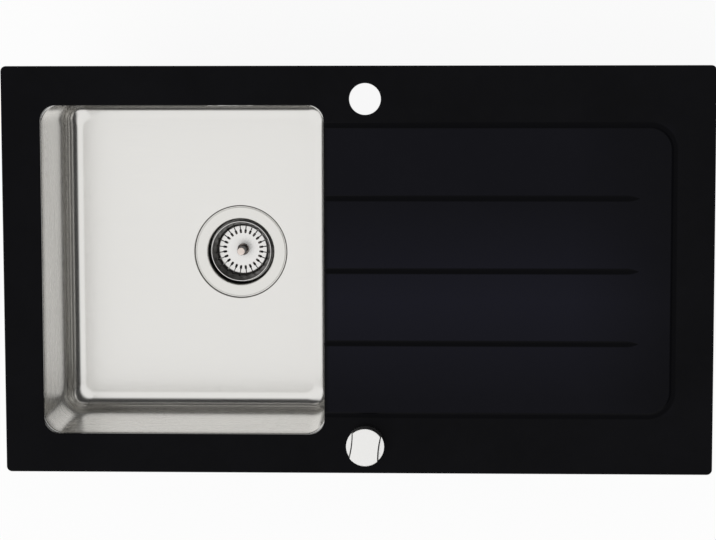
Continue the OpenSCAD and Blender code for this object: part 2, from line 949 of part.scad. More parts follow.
module overflow_rosette() {
    color(brushed)
        difference() {
            union() {
                on_back_wall(-rosette_t)
                    cylinder(d1 = rosette_d - rosette_t, d2 = rosette_d, h = rosette_t);
                on_back_wall(-rosette_t)
                    cylinder(d = boss_d, h = boss_t);
            }
            on_back_wall(-rosette_t - 1)
                cylinder(d = overflow_screw_d + 2 * fit_gap, h = boss_t + 2);
            on_back_wall(-rosette_t - eps)
                cylinder(d1 = countersink_d, d2 = overflow_screw_d, h = (countersink_d - overflow_screw_d) / 2);
            for (i = [0 : 7])
                on_back_wall(-rosette_t - 1)
                    rotate([0, 0, i * 45])
                        translate([rosette_d * 0.26, 0, 0])
                            cylinder(d = rosette_d * 0.12, h = boss_t + 2);
        }
}

module overflow_screw() {
    head_y = fit_gap - rosette_t;
    cone_h = (countersink_d - overflow_screw_d) / 2 - fit_gap;
    color(zinc)
        difference() {
            union() {
                on_back_wall(head_y)
                    cylinder(d1 = countersink_d - 4 * fit_gap, d2 = overflow_screw_d - 2 * fit_gap, h = cone_h);
                on_back_wall(head_y)
                    cylinder(d = overflow_screw_d, h = elbow_y + screw_grip - head_y);
            }
            on_back_wall(head_y - 1)
                translate([-countersink_d / 2, -driver_w / 2, 0])
                    cube([countersink_d, driver_w, 2]);
        }
}

module overflow_gasket() {
    color(dark_rubber)
        on_back_wall(steel_t)
            ring(rosette_d, overflow_hole_d, 0, overflow_gasket_t);
}

module overflow_elbow() {
    color(grey_plastic)
        difference() {
            union() {
                on_back_wall(elbow_y)
                    cylinder(d = rosette_d, h = 3);
                on_back_wall(elbow_y)
                    cylinder(d = overflow_hole_d - 6, h = elbow_depth);
                translate([overflow_x, elbow_axis_y, elbow_foot])
                    cylinder(r = spigot_r + 1.6, h = overflow_z - elbow_foot);
            }
            difference() {
                on_back_wall(elbow_y - 1)
                    cylinder(d = overflow_hole_d - 11, h = elbow_depth - 1.5);
                on_back_wall(elbow_y + 1)
                    cylinder(d = overflow_screw_d + 5, h = elbow_depth);
            }
            on_back_wall(elbow_y - 2)
                cylinder(d = overflow_screw_d + 0.3, h = 16);
            translate([overflow_x, elbow_axis_y, elbow_foot - 1])
                cylinder(r = spigot_r - 0.6, h = overflow_z - overflow_hole_d / 2 + 8 - elbow_foot);
        }
}

// Ribbed hose: down from the elbow, one bend, then level to the waste body's inlet

hose_bore_r = hose_r - 2.6;
hose_waist_r = hose_r - 1.4;
hose_top_z = elbow_foot - 0.3;
inlet_level = floor_z + inlet_z;
inlet_mouth_y = waste_y + inlet_end + 0.3;
drop_l = hose_top_z - inlet_level - hose_bend_r;
bend_l = hose_bend_r * PI / 2;
level_l = elbow_axis_y - hose_bend_r - inlet_mouth_y;
hose_l = drop_l + bend_l + level_l;
hose_sides = 8;
rib_count = floor(hose_l / rib_pitch);
hose_steps = 2 * rib_count;

// Point and direction of the hose's middle line at length s: [y, z, angle below level]
function hose_at(s) =
    s < drop_l ? [elbow_axis_y, hose_top_z - s, 90]
    : s < drop_l + bend_l
        ? let (a = (s - drop_l) / hose_bend_r * 180 / PI)
          [elbow_axis_y - hose_bend_r * (1 - cos(a)),
           inlet_level + hose_bend_r * (1 - sin(a)), 90 - a]
        : [elbow_axis_y - hose_bend_r - (s - drop_l - bend_l), inlet_level, 0];

function hose_ring(s, r) =
    let (p = hose_at(s))
    [for (k = [0 : hose_sides - 1])
        let (a = (k + 0.5) * 360 / hose_sides, across = r * cos(a), up = r * sin(a))
        [overflow_x + across, p[0] + up * sin(p[2]), p[1] - up * cos(p[2])]];

module overflow_hose() {
    outer = [for (i = [0 : hose_steps])
        hose_ring(hose_l * i / hose_steps, i % 2 == 1 ? hose_r : hose_waist_r)];
    inner = [for (i = [0 : rib_count])
        hose_ring(hose_l * i / rib_count, hose_bore_r)];
    outer_n = (hose_steps + 1) * hose_sides;
    points = [for (r = concat(outer, inner)) for (p = r) p];
    function quad(a, b, c, d) = [[a, b, c], [a, c, d]];
    function wrap(k) = (k + 1) % hose_sides;
    out_faces = [for (i = [0 : hose_steps - 1], k = [0 : hose_sides - 1])
        for (f = quad(i * hose_sides + k, i * hose_sides + wrap(k),
                      (i + 1) * hose_sides + wrap(k), (i + 1) * hose_sides + k)) f];
    in_faces = [for (i = [0 : rib_count - 1], k = [0 : hose_sides - 1])
        for (f = quad(outer_n + (i + 1) * hose_sides + k, outer_n + (i + 1) * hose_sides + wrap(k),
                      outer_n + i * hose_sides + wrap(k), outer_n + i * hose_sides + k)) f];
    first_end = [for (k = [0 : hose_sides - 1])
        for (f = quad(k, outer_n + k, outer_n + wrap(k), wrap(k))) f];
    last_out = hose_steps * hose_sides;
    last_in = outer_n + rib_count * hose_sides;
    last_end = [for (k = [0 : hose_sides - 1])
        for (f = quad(last_out + wrap(k), last_in + wrap(k), last_in + k, last_out + k)) f];
    color(black_plastic)
        polyhedron(points, concat(out_faces, in_faces, first_end, last_end));
}

module hose_nut() {
    difference() {
        union() {
            cylinder(r = hose_r + nut_wall, h = nut_h);
            for (i = [0 : 9])
                rotate([0, 0, i * 36])
                    translate([hose_r + nut_wall - 1, -1, 0])
                        cube([nut_grip + 1, 2, nut_h]);
        }
        translate([0, 0, -1])
            cylinder(r = hose_r + run_gap, h = nut_h + 2);
    }
}

module hose_nut_upper() {
    color(white_plastic)
        translate([overflow_x, elbow_axis_y, hose_top_z - 10])
            hose_nut();
}

module hose_nut_lower() {
    color(white_plastic)
        translate([overflow_x, inlet_mouth_y + 10, inlet_level])
            rotate([90, 0, 0])
                hose_nut();
}

// Control knob and its gear under the deck

sleeve_r = sleeve_d / 2;
sleeve_top = glass_top + 6;
washer_t = 2;
housing_r = 19;
housing_flange_r = 20.4;
housing_top = glass_z - washer_t;
cavity_top = housing_top - 10;
housing_foot = cavity_top - 20;
spindle_r = spindle_d / 2;
drum_z = cavity_top - 15;
knob_foot = glass_top + 0.5;
knob_top = glass_top + knob_h;
knob_r = knob_d / 2;
cap_z = sleeve_top + 0.4;
ledge_top = knob_top - grip_drop;

module control_knob() {
    color(satin)
        at_knob()
            rotate([0, 0, -knob_turn])
                difference() {
                    union() {
                        translate([0, 0, knob_foot])
                            cylinder(r = knob_r, h = knob_top - 1 - knob_foot);
                        translate([0, 0, knob_top - 1])
                            cylinder(r1 = knob_r, r2 = knob_r - 1, h = 1);
                    }
                    for (side = [-1, 1])
                        intersection() {
                            translate([side * (grip_w / 2 + grip_r), 0, ledge_top])
                                cylinder(r = grip_r, h = grip_drop + 1, $fn = 180);
                            translate([side * knob_r - knob_r, -knob_r - 1, ledge_top])
                                cube([2 * knob_r, 2 * knob_r + 2, grip_drop + 1]);
                        }
                    translate([0, 0, knob_foot - 1])
                        cylinder(r = knob_r - 1.8, h = cap_z - knob_foot + 1);
                    translate([0, 0, cap_z - 1])
                        cylinder(r = spindle_r + fit_gap / 2, h = knob_top - 4 - cap_z + 1);
                }
}

module knob_spindle() {
    color(zinc)
        at_knob()
            translate([0, 0, drum_z - 2])
                cylinder(r = spindle_r, h = knob_top - 4.2 - drum_z + 2);
}

module cable_drum() {
    drum_r = drum_d / 2;
    color(white_plastic)
        at_knob()
            difference() {
                union() {
                    ring(2 * drum_r + 4, 2 * (spindle_r + fit_gap / 2), drum_z, drum_z + 2);
                    ring(2 * drum_r, 2 * (spindle_r + fit_gap / 2), drum_z + 2 - eps, drum_z + 10);
                    ring(2 * drum_r + 4, 2 * (spindle_r + fit_gap / 2), drum_z + 10 - eps, drum_z + 12);
                }
                translate([-drum_r + 3, 0, drum_z - 1])
                    cylinder(r = 1, h = 14);
            }
}

module knob_nut() {
    color(white_plastic)
        at_knob()
            difference() {
                translate([0, 0, glass_top])
                    cylinder(r = knob_r - 2.4, h = 4.5, $fn = 12);
                translate([0, 0, glass_top - 1])
                    cylinder(r = sleeve_r + thread_gap, h = 7);
            }
}

module knob_washer() {
    color(dark_rubber)
        at_knob()
            ring(2 * housing_flange_r, sleeve_d + 0.6, housing_top, glass_z);
}

adjuster_x = -drum_d / 2;
adjuster_y = sqrt(housing_r * housing_r - adjuster_x * adjuster_x) - 1;
cable_level = drum_z + 6;

module knob_housing() {
    color(black_plastic)
        at_knob()
            difference() {
                union() {
                    translate([0, 0, housing_top - 4])
                        cylinder(r = housing_flange_r, h = 4);
                    translate([0, 0, housing_foot])
                        cylinder(r = housing_r, h = housing_top - housing_foot);
                    translate([0, 0, housing_top - eps])
                        cylinder(r = sleeve_r, h = sleeve_top - housing_top);
                    translate([adjuster_x, 0, cable_level])
                        rotate([-90, 0, 0])
                            cylinder(r = cable_d / 2 + 3, h = adjuster_y + 4);
                }
                translate([0, 0, housing_foot - 1])
                    cylinder(r = housing_r - 2, h = cavity_top - housing_foot + 1);
                translate([0, 0, cavity_top - 1])
                    cylinder(r = spindle_r + 0.08, h = sleeve_top - cavity_top + 2);
                translate([adjuster_x, 0, cable_level])
                    rotate([-90, 0, 0])
                        cylinder(r = cable_d / 2 + 0.6, h = adjuster_y + 6);
            }
}

module housing_cap() {
    color(black_plastic)
        at_knob() {
            translate([0, 0, housing_foot - 2])
                cylinder(r = housing_r, h = 2);
            ring(2 * (housing_r - 2 - fit_gap), 2 * (housing_r - 4), housing_foot - eps, housing_foot + 2);
        }
}

adjuster_l = 14;

module cable_adjuster() {
    start = adjuster_y + 1;
    color(zinc)
        at_knob()
            translate([adjuster_x, start, cable_level])
                rotate([-90, 0, 0])
                    difference() {
                        union() {
                            cylinder(r = cable_d / 2 + 0.5, h = adjuster_l);
                            translate([0, 0, 3])
                                cylinder(r = cable_d / 2 + 3, h = 3, $fn = 6);
                        }
                        translate([0, 0, -1])
                            cylinder(r = 1, h = adjuster_l + 2);
                        translate([0, 0, 8])
                            cylinder(r = cable_d / 2 + fit_gap, h = adjuster_l);
                    }
}

gland_l = 14;

module cable_gland() {
    color(zinc)
        at_waste()
            translate([box_right + box_wall - 1.5, 0, gland_z])
                rotate([0, 90, 0])
                    difference() {
                        union() {
                            cylinder(r = cable_d / 2 + 0.7, h = gland_l);
                            translate([0, 0, 1.5])
                                cylinder(r = cable_d / 2 + 3, h = 3, $fn = 6);
                        }
                        translate([0, 0, -1])
                            cylinder(r = 1, h = gland_l + 2);
                        translate([0, 0, 8])
                            cylinder(r = cable_d / 2 + fit_gap, h = gland_l);
                    }
}

// Control cable, held at both ends. Its middle points were chosen by hand.
cable_start = [hole_x + adjuster_x, knob_y + adjuster_y + 9.2, cable_level];
cable_end = [waste_x + box_right + box_wall + 6.7, waste_y, floor_z + gland_z];
cable_points = [
    cable_start, cable_start + [0, 8, 0], cable_start + [0, 18, 0],
    [-2, -142, -30], [-4, -116, -66], [-8, -90, -124], [-14, -62, -190], [-28, -30, -244],
    [-60, 2, -275], cable_end + [20, 0, 0], cable_end + [8, 0, 0], cable_end
];
cable_sides = 12;
cable_per_span = 6;

// Catmull-Rom curve through the points, with the end points doubled
function cable_pt(i) = cable_points[max(0, min(len(cable_points) - 1, i))];
function cable_curve(i, t) =
    let (a = cable_pt(i - 1), b = cable_pt(i), c = cable_pt(i + 1), d = cable_pt(i + 2))
    0.5 * (2 * b + (c - a) * t + (2 * a - 5 * b + 4 * c - d) * t * t
           + (3 * b - a - 3 * c + d) * t * t * t);
function unit(v) = v / norm(v);

module control_cable() {
    spans = len(cable_points) - 1;
    steps = spans * cable_per_span;
    middle = [for (k = [0 : steps])
        k == steps ? cable_pt(spans)
        : cable_curve(floor(k / cable_per_span), (k % cable_per_span) / cable_per_span)];
    rings = [for (k = [0 : steps])
        let (
            ahead = middle[min(k + 1, steps)],
            behind = middle[max(k - 1, 0)],
            along = k == 0 ? [0, 1, 0] : k == steps ? [-1, 0, 0] : unit(ahead - behind),
            side = unit(cross(along, [0.31, -0.37, 0.88])),
            up = cross(side, along)
        )
        for (j = [0 : cable_sides - 1])
            let (a = j * 360 / cable_sides)
            middle[k] + cable_d / 2 * (cos(a) * side + sin(a) * up)];
    function nxt(j) = (j + 1) % cable_sides;
    skin = [for (k = [0 : steps - 1], j = [0 : cable_sides - 1])
        for (f = [[k * cable_sides + j, k * cable_sides + nxt(j), (k + 1) * cable_sides + nxt(j)],
                  [k * cable_sides + j, (k + 1) * cable_sides + nxt(j), (k + 1) * cable_sides + j]]) f];
    first_cap = [[for (j = [cable_sides - 1 : -1 : 0]) j]];
    last_cap = [[for (j = [0 : cable_sides - 1]) steps * cable_sides + j]];
    color(black_plastic)
        polyhedron(rings, concat(skin, first_cap, last_cap));
}

glass_deck();
glass_bond();
support_frame();
worktop_seal();
bowl();
sound_pads();
clip_brackets();
clip_jaws();
clip_screws();
strainer_cup();
cup_gasket();
body_gasket();
waste_body();
hollow_screw();
rod_seal();
lever_cover();
lever_pin();
lift_lever();
strainer_basket();
stopper();
stopper_seal();
lift_rod();
overflow_rosette();
overflow_screw();
overflow_gasket();
overflow_elbow();
overflow_hose();
hose_nut_upper();
hose_nut_lower();
control_knob();
knob_spindle();
cable_drum();
knob_nut();
knob_washer();
knob_housing();
housing_cap();
cable_adjuster();
cable_gland();
control_cable();
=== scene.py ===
"""Looks of the inset glass sink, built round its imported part.

Lengths are millimetres in the part's own frame: the origin is the middle of the deck's outline on the
worktop, +X runs along the drainer, +Y to the tap side and +Z up. A new mesh is scaled to metres as it
becomes an object.
"""

from __future__ import annotations

import logging
import math
from dataclasses import dataclass
from enum import Enum
from typing import Callable, Optional, Sequence, Union

import bmesh
import bpy
from bmesh.types import BMEdge, BMesh, BMFace, BMVert
from bpy.types import Material, Node, NodeSocket, NodeTree, Object
from mathutils import Matrix, Vector

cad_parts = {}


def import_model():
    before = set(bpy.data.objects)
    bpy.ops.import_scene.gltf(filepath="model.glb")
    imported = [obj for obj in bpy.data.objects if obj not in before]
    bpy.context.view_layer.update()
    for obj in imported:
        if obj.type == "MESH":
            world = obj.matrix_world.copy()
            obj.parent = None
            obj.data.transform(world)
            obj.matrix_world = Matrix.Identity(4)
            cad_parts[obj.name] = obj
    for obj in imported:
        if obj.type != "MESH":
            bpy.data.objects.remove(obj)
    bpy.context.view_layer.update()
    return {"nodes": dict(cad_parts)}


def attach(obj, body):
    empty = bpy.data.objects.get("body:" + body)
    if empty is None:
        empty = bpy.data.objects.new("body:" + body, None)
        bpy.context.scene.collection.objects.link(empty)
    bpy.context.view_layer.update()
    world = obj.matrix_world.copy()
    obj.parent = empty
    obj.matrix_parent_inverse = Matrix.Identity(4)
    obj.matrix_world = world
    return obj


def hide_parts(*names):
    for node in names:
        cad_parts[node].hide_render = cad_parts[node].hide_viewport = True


MM = 0.001
WELD_WITHIN = 1e-4
EASED_ABOVE = 40.0
LOG = logging.getLogger("glass_sink")
Point = tuple[float, float]
Place = tuple[float, float, float]
Colour = tuple[float, float, float]
Ring = list[BMEdge]
Inputs = dict[Union[str, int], object]
Fill = Callable[["Graph", Node], Inputs]


class Body(Enum):
    """The moving bodies that new pieces ride on."""

    SINK = "sink"
    KNOB = "knob"
    STOPPER = "stopper"
    BASKET = "basket"


# Mesh tools


def round_corners(bm: BMesh, verts: Sequence[BMVert], radius: float, steps: int) -> None:
    """Rounds the corners of an outline at some of its vertices.

    Args:
        bm: The mesh that holds the outline.
        verts: The corners to round.
        radius: Radius of a square corner, in millimetres.
        steps: Number of straight pieces in each round corner.
    """
    bmesh.ops.bevel(bm, geom=list(verts), offset=radius, offset_type="OFFSET", affect="VERTICES",
                    segments=steps, profile=0.5, material=-1, clamp_overlap=False)


def plate_ring(bm: BMesh, size: Point, radius: float, middle: Place, steps: int) -> Ring:
    """Adds a rectangle with round corners.

    Args:
        bm: The mesh to add to. It has no faces yet.
        size: Length and width.
        radius: Corner radius.
        middle: Middle of the rectangle.
        steps: Straight pieces in each corner.

    Returns:
        The rectangle's edges.
    """
    matrix = Matrix.Translation(middle) @ Matrix.Diagonal((*size, 1, 1))
    made = bmesh.ops.create_grid(bm, x_segments=1, y_segments=1, size=0.5, matrix=matrix)
    round_corners(bm, made["verts"], radius, steps)
    face = next(iter(bm.faces))
    edges = list(face.edges)
    bmesh.ops.delete(bm, geom=[face], context="FACES_ONLY")
    return edges


def circle_ring(bm: BMesh, radius: float, middle: Place, steps: int = 96) -> Ring:
    """Adds a circle and returns its edges."""
    made = bmesh.ops.create_circle(bm, cap_ends=False, radius=radius, segments=steps,
                                   matrix=Matrix.Translation(middle))
    return list({e for v in made["verts"] for e in v.link_edges})


def skin(bm: BMesh, rings: Sequence[Ring]) -> None:
    """Joins each ring of edges to the next with faces."""
    for first, second in zip(rings, rings[1:]):
        bmesh.ops.bridge_loops(bm, edges=first + second)


def outward(bm: BMesh) -> BMesh:
    """Turns a mesh's faces outwards, and returns the mesh."""
    bmesh.ops.recalc_face_normals(bm, faces=bm.faces)
    return bm


def quarter() -> list[Point]:
    """Points of a quarter circle of radius 1 about (1, 1), from (1, 0) to (0, 1)."""
    return [(1 - math.sin(a), 1 - math.cos(a)) for a in (math.radians(22.5 * i) for i in range(5))]


def lathe(outline: Sequence[tuple[float, ...]], steps: int, rounding: int = 4) -> BMesh:
    """Turns a closed outline about the Z axis.

    Args:
        outline: Points in order: radius, height and, for some, a rounding. Radius 0 closes the middle.
        steps: Pieces in a full turn.
        rounding: Straight pieces in each rounding.

    Returns:
        The turned solid.
    """
    bm = bmesh.new()
    verts = [bm.verts.new((r, 0, z)) for r, z, *_ in outline]
    closed = min(outline)[0] > 0
    for i in range(len(verts) if closed else len(verts) - 1):
        bm.edges.new((verts[i], verts[(i + 1) % len(verts)]))
    for vert, (_, _, *soft) in zip(verts, outline):
        if soft:
            round_corners(bm, [vert], soft[0], rounding)
    bmesh.ops.spin(bm, geom=bm.verts[:] + bm.edges[:], cent=(0, 0, 0), axis=(0, 0, 1),
                   angle=2 * math.pi, steps=steps, use_merge=True)
    bmesh.ops.remove_doubles(bm, verts=bm.verts, dist=WELD_WITHIN)
    return outward(bm)


def rod(radius: float, length: float, middle: Place = (0, 0, 0), steps: int = 24) -> BMesh:
    """Makes a solid cylinder along Z."""
    bm = bmesh.new()
    bmesh.ops.create_cone(bm, cap_ends=True, segments=steps, radius1=radius, radius2=radius, depth=length,
                          matrix=Matrix.Translation(middle))
    return bm


def repeat_round(bm: BMesh, count: int) -> BMesh:
    """Repeats a mesh round the Z axis, and returns it."""
    bmesh.ops.spin(bm, geom=bm.verts[:] + bm.edges[:] + bm.faces[:], cent=(0, 0, 0), axis=(0, 0, 1),
                   angle=2 * math.pi, steps=count, use_duplicate=True, use_merge=True)
    bmesh.ops.remove_doubles(bm, verts=bm.verts, dist=WELD_WITHIN)
    return bm


def move(bm: BMesh, offset: Place, turn: float = 0.0, axis: str = "Z") -> BMesh:
    """Turns a mesh about an axis through the origin, in degrees, then shifts it. Returns the mesh."""
    bmesh.ops.transform(bm, verts=bm.verts,
                        matrix=Matrix.Translation(offset) @ Matrix.Rotation(math.radians(turn), 4, axis))
    return bm


def link(made: Object) -> Object:
    """Puts an object in the scene, and returns it."""
    bpy.context.scene.collection.objects.link(made)
    return made


def to_object(bm: BMesh, name: str) -> Object:
    """Makes an object in metres from a mesh in millimetres, with its place in its vertices."""
    bmesh.ops.scale(bm, vec=(MM, MM, MM), verts=bm.verts)
    mesh = bpy.data.meshes.new(name)
    bm.to_mesh(mesh)
    bm.free()
    return link(bpy.data.objects.new(name, mesh))


def as_mesh(piece: Object) -> bpy.types.Mesh:
    """A new mesh of a piece as it shows, with its modifiers."""
    bpy.context.view_layer.update()
    return bpy.data.meshes.new_from_object(piece.evaluated_get(bpy.context.evaluated_depsgraph_get()))


def apply_modifiers(piece: Object) -> None:
    """Puts a piece's modifiers into its mesh."""
    mesh = as_mesh(piece)
    mesh.name = piece.name
    piece.modifiers.clear()
    piece.data = mesh


def carve(piece: Object, cutters: Sequence[BMesh]) -> None:
    """Cuts shapes out of a piece, then drops the cutters."""
    for number, cutter in enumerate(cutters):
        tool = to_object(cutter, f"cutter_{number}")
        cut = piece.modifiers.new("cut", "BOOLEAN")
        cut.operation = "DIFFERENCE"
        cut.solver = "EXACT"
        cut.object = tool
        apply_modifiers(piece)
        bpy.data.objects.remove(tool)


def ease_edges(piece: Object, width: float, steps: int) -> None:
    """Adds a modifier that rounds a piece's sharp edges, with a width in millimetres."""
    bevel = piece.modifiers.new("ease", "BEVEL")
    bevel.width = width * MM
    bevel.segments = steps
    bevel.limit_method = "ANGLE"
    bevel.angle_limit = math.radians(EASED_ABOVE)


def keep_flats(piece: Object) -> None:
    """Adds a modifier that keeps large flat faces flat in smooth shading."""
    piece.modifiers.new("flat faces", "WEIGHTED_NORMAL").keep_sharp = True


def place(piece: Object, angle: float, finish: "Finish", body: Body, slot: str, *nodes: str) -> Object:
    """Dresses a new piece and ties it to the part.

    Args:
        piece: The new object.
        angle: Edges that turn more than this, in degrees, are shaded sharp.
        finish: What it is made of.
        body: The body that it moves with.
        slot: The record's material slot. Not used.
        nodes: The part's nodes that it stands for.

    Returns:
        The object.
    """
    finish.coat(piece)
    piece.data.set_sharp_from_angle(angle=math.radians(angle))
    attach(piece, body.value)
    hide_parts(*nodes)
    LOG.info("%s: %d faces, on %s", piece.name, len(piece.data.polygons), body.value)
    return piece


# Node tools


def tinted(colour: Colour, *shares: float) -> Colour:
    """A colour times one share, or one for each channel, and no brighter than white."""
    return tuple(min(1.0, c * k) for c, k in zip(colour, shares if len(shares) > 1 else shares * 3))


class Graph:
    """A node tree with short calls to add and join nodes."""

    def __init__(self, tree: NodeTree) -> None:
        """Takes the tree to build in."""
        self.tree = tree

    def put(self, value: object, socket: NodeSocket) -> None:
        """Joins an output to an input, or sets the input's own value."""
        if isinstance(value, NodeSocket):
            self.tree.links.new(value, socket)
        else:
            socket.default_value = value

    def add(self, kind: str, inputs: Optional[Inputs] = None, **settings: object) -> Node:
        """Adds a node.

        Args:
            kind: The node's type name.
            inputs: A value, or an output to join, for each named or numbered input.
            settings: Properties to set on the node first.

        Returns:
            The node.
        """
        node = self.tree.nodes.new(kind)
        for name, value in settings.items():
            setattr(node, name, value)
        for name, value in (inputs or {}).items():
            self.put(value, node.inputs[name])
        return node

    def math(self, operation: str, a: object, b: object = 0.0) -> NodeSocket:
        """Adds a Math node and returns its result."""
        return self.add("ShaderNodeMath", {0: a, 1: b}, operation=operation).outputs[0]

    def times(self, *values: object) -> NodeSocket:
        """Multiplies two or more values."""
        total = values[0]
        for value in values[1:]:
            total = self.math("MULTIPLY", total, value)
        return total

    def plus(self, a: object, b: object) -> NodeSocket:
        """Adds two values."""
        return self.math("ADD", a, b)

    def weigh(self, share: float, a: object, b: object) -> NodeSocket:
        """Mixes two values, the first with a fixed share."""
        return self.plus(self.times(a, share), self.times(b, 1.0 - share))

    def vector(self, operation: str, a: object, b: object = (0, 0, 0), output: int = 0) -> NodeSocket:
        """Adds a Vector Math node and returns its vector, or its number as output 1."""
        return self.add("ShaderNodeVectorMath", {0: a, 1: b}, operation=operation).outputs[output]

    def split(self, vector: object) -> Sequence[NodeSocket]:
        """Adds a Separate XYZ node and returns its three results."""
        return self.add("ShaderNodeSeparateXYZ", {0: vector}).outputs[:]

    def combine(self, x: object = 0.0, y: object = 0.0, z: object = 0.0) -> NodeSocket:
        """Adds a Combine XYZ node and returns its vector."""
        return self.add("ShaderNodeCombineXYZ", {0: x, 1: y, 2: z}).outputs[0]

    def normal(self) -> NodeSocket:
        """The surface's own normal."""
        return self.add("ShaderNodeNewGeometry").outputs["Normal"]

    def steep(self, start: float, end: float) -> NodeSocket:
        """A mask of steep faces: 1 while the normal's rise is below the start, 0 from the end on."""
        return self.span(self.math("ABSOLUTE", self.split(self.normal())[2]), 1.0, 0.0, start, end)

    def noise(self, vector: object, scale: float, detail: float, roughness: float) -> NodeSocket:
        """Adds a Noise Texture and returns its value."""
        return self.add("ShaderNodeTexNoise", {"Vector": vector, "Scale": scale, "Detail": detail,
                                               "Roughness": roughness}).outputs[0]

    def stretch(self, vector: object, scale: Place) -> NodeSocket:
        """Adds a Mapping node and returns its vector."""
        return self.add("ShaderNodeMapping", {"Vector": vector, "Scale": scale}).outputs[0]

    def span(self, value: object, low: float, high: float, start: float = 0.0,
             end: float = 1.0) -> NodeSocket:
        """Adds a Map Range node, which runs from low at start to high at end, and returns its result."""
        return self.add("ShaderNodeMapRange", {0: value, 1: start, 2: end, 3: low, 4: high}).outputs[0]

    def rise(self, value: object, start: float, end: float) -> NodeSocket:
        """Runs from 0 to 1 between two lengths in millimetres."""
        return self.span(value, 0.0, 1.0, start * MM, end * MM)

    def fall(self, value: object, start: float, end: float, low: float = 0.0) -> NodeSocket:
        """Runs from 1 to a low value between two lengths in millimetres."""
        return self.span(value, 1.0, low, start * MM, end * MM)

    def blend(self, share: object, a: object, b: object, mode: str = "MIX") -> NodeSocket:
        """Adds a colour Mix node and returns its result."""
        node = self.add("ShaderNodeMix", {0: share}, data_type="RGBA", blend_type=mode)
        for socket, value in ((node.inputs[6], a), (node.inputs[7], b)):
            self.put(value if isinstance(value, NodeSocket) else (*value, 1.0), socket)
        return node.outputs[2]

    def vary(self, share: object, colour: Colour, low: float, high: float) -> NodeSocket:
        """Mixes a darker and a lighter tone of one colour."""
        return self.blend(share, tinted(colour, low), tinted(colour, high))

    def bump(self, height: object, strength: float, distance: float,
             normal: Optional[object] = None) -> NodeSocket:
        """Adds a Bump node, its distance in millimetres, and returns its normal."""
        inputs: Inputs = {"Height": height, "Strength": strength, "Distance": distance * MM}
        if normal is not None:
            inputs["Normal"] = normal
        return self.add("ShaderNodeBump", inputs).outputs[0]


def fresh_graph(owner: Union[Material, bpy.types.World]) -> Graph:
    """The emptied node tree of a material or a world."""
    owner.use_nodes = True
    owner.node_tree.nodes.clear()
    return Graph(owner.node_tree)


# Effects that finishes share, each the inside of a node group


def brushing(g: Graph, into: Node) -> Inputs:
    """Fine lines left by a brush: along the bowl on level faces and level on upright ones."""
    where, normal = into.outputs["Vector"], g.normal()
    x, y, z = g.split(normal)
    steep = g.math("ABSOLUTE", z)
    # The upright mask holds the walls that face +X and +Y; it raises their shading normal and, in
    # BrushedSteel, paints light on them as a lighter tone.
    towards = g.span(g.plus(x, y), 0.0, 1.0, -0.3, 0.3)
    upright = g.times(g.span(steep, 1.0, 0.0, 0.03, 0.25), towards)
    on_upright, on_level = (g.noise(g.stretch(where, scale), 900.0, 3.0, 0.6)
                            for scale in ((0.014, 0.014, 1.0), (0.014, 1.0, 1.0)))
    lines = g.blend(g.span(steep, 0.0, 1.0, 0.5, 0.8), on_upright, on_level)
    raised = g.vector("NORMALIZE", g.vector("ADD", normal, g.combine(z=g.times(upright, 0.12))))
    return {"Lines": lines, "Normal": g.bump(lines, 0.16, 0.02, raised), "Upright": upright}


def turning(g: Graph, into: Node) -> Inputs:
    """Fine lines left by a lathe round an upright axis, and a mask of the steep faces near it, where shade is
    painted.
    """
    x, y, z = g.split(g.vector("SUBTRACT", into.outputs["Vector"], into.outputs["Axis"]))
    radius = g.vector("LENGTH", g.combine(x, y), output=1)
    lines = g.noise(g.combine(radius, z), 2500.0, 2.0, 0.6)
    near = g.math("LESS_THAN", radius, into.outputs["Within"])
    return {"Lines": lines, "Normal": g.bump(lines, 0.3, 0.015), "Hollow": g.times(g.steep(0.45, 0.8), near)}


def clouding(g: Graph, into: Node) -> Inputs:
    """Slow changes of tone over a surface, with a few finer ones inside them."""
    slow = g.noise(into.outputs["Vector"], 9.0, 3.0, 0.45)
    fine = g.noise(into.outputs["Vector"], 70.0, 4.0, 0.6)
    return {"Cloud": g.span(g.weigh(0.7, slow, fine), 0.0, 1.0, 0.3, 0.7)}


def moulding(g: Graph, into: Node) -> Inputs:
    """The fine uneven skin of moulded plastic and rubber."""
    fine = g.noise(into.outputs["Vector"], 1400.0, 3.0, 0.6)
    wavy = g.noise(into.outputs["Vector"], 90.0, 2.0, 0.5)
    return {"Grain": fine, "Normal": g.bump(fine, 0.2, 0.05, g.bump(wavy, 0.25, 0.3))}


def milling(g: Graph, into: Node) -> Inputs:
    """Masks of the drainer: its field, where a sheen is painted, strongest along the middle, and the grooves
    milled in it.
    """
    x, y, z = g.split(into.outputs["Vector"])
    side = g.math("ABSOLUTE", y)
    field = g.times(g.rise(x, -39, -34), g.fall(x, 377, 385), g.fall(x, 260, 370, 0.3),
                    g.fall(side, 172, 180), g.fall(g.math("ABSOLUTE", g.plus(y, 0.037)), 0, 120, 0.35))
    near = g.times(g.rise(x, -39, -37), g.fall(x, 392, 396), g.fall(side, 184, 187))
    return {"Field": field, "Groove": g.times(near, g.fall(z, 11.65, 11.98))}


def effect_group(name: str, fill: Fill, further: dict[str, object]) -> NodeTree:
    """Makes an effect's node group, or finds it.

    Args:
        name: The group's name.
        fill: Builds the inside from the graph and its input node, and returns the results by name.
        further: The inputs after the vector. A number makes a number input, anything else a vector.

    Returns:
        The group's tree.
    """
    found = bpy.data.node_groups.get(name)
    if found:
        return found
    tree = bpy.data.node_groups.new(name, "ShaderNodeTree")
    for label, value in (("Vector", None), *further.items()):
        kind = "NodeSocketFloat" if isinstance(value, float) else "NodeSocketVector"
        tree.interface.new_socket(label, in_out="INPUT", socket_type=kind)
    g = Graph(tree)
    results = fill(g, g.add("NodeGroupInput"))
    for label in results:
        kind = "NodeSocketVector" if label == "Normal" else "NodeSocketFloat"
        tree.interface.new_socket(label, in_out="OUTPUT", socket_type=kind)
    g.add("NodeGroupOutput", results)
    return tree


# Finishes


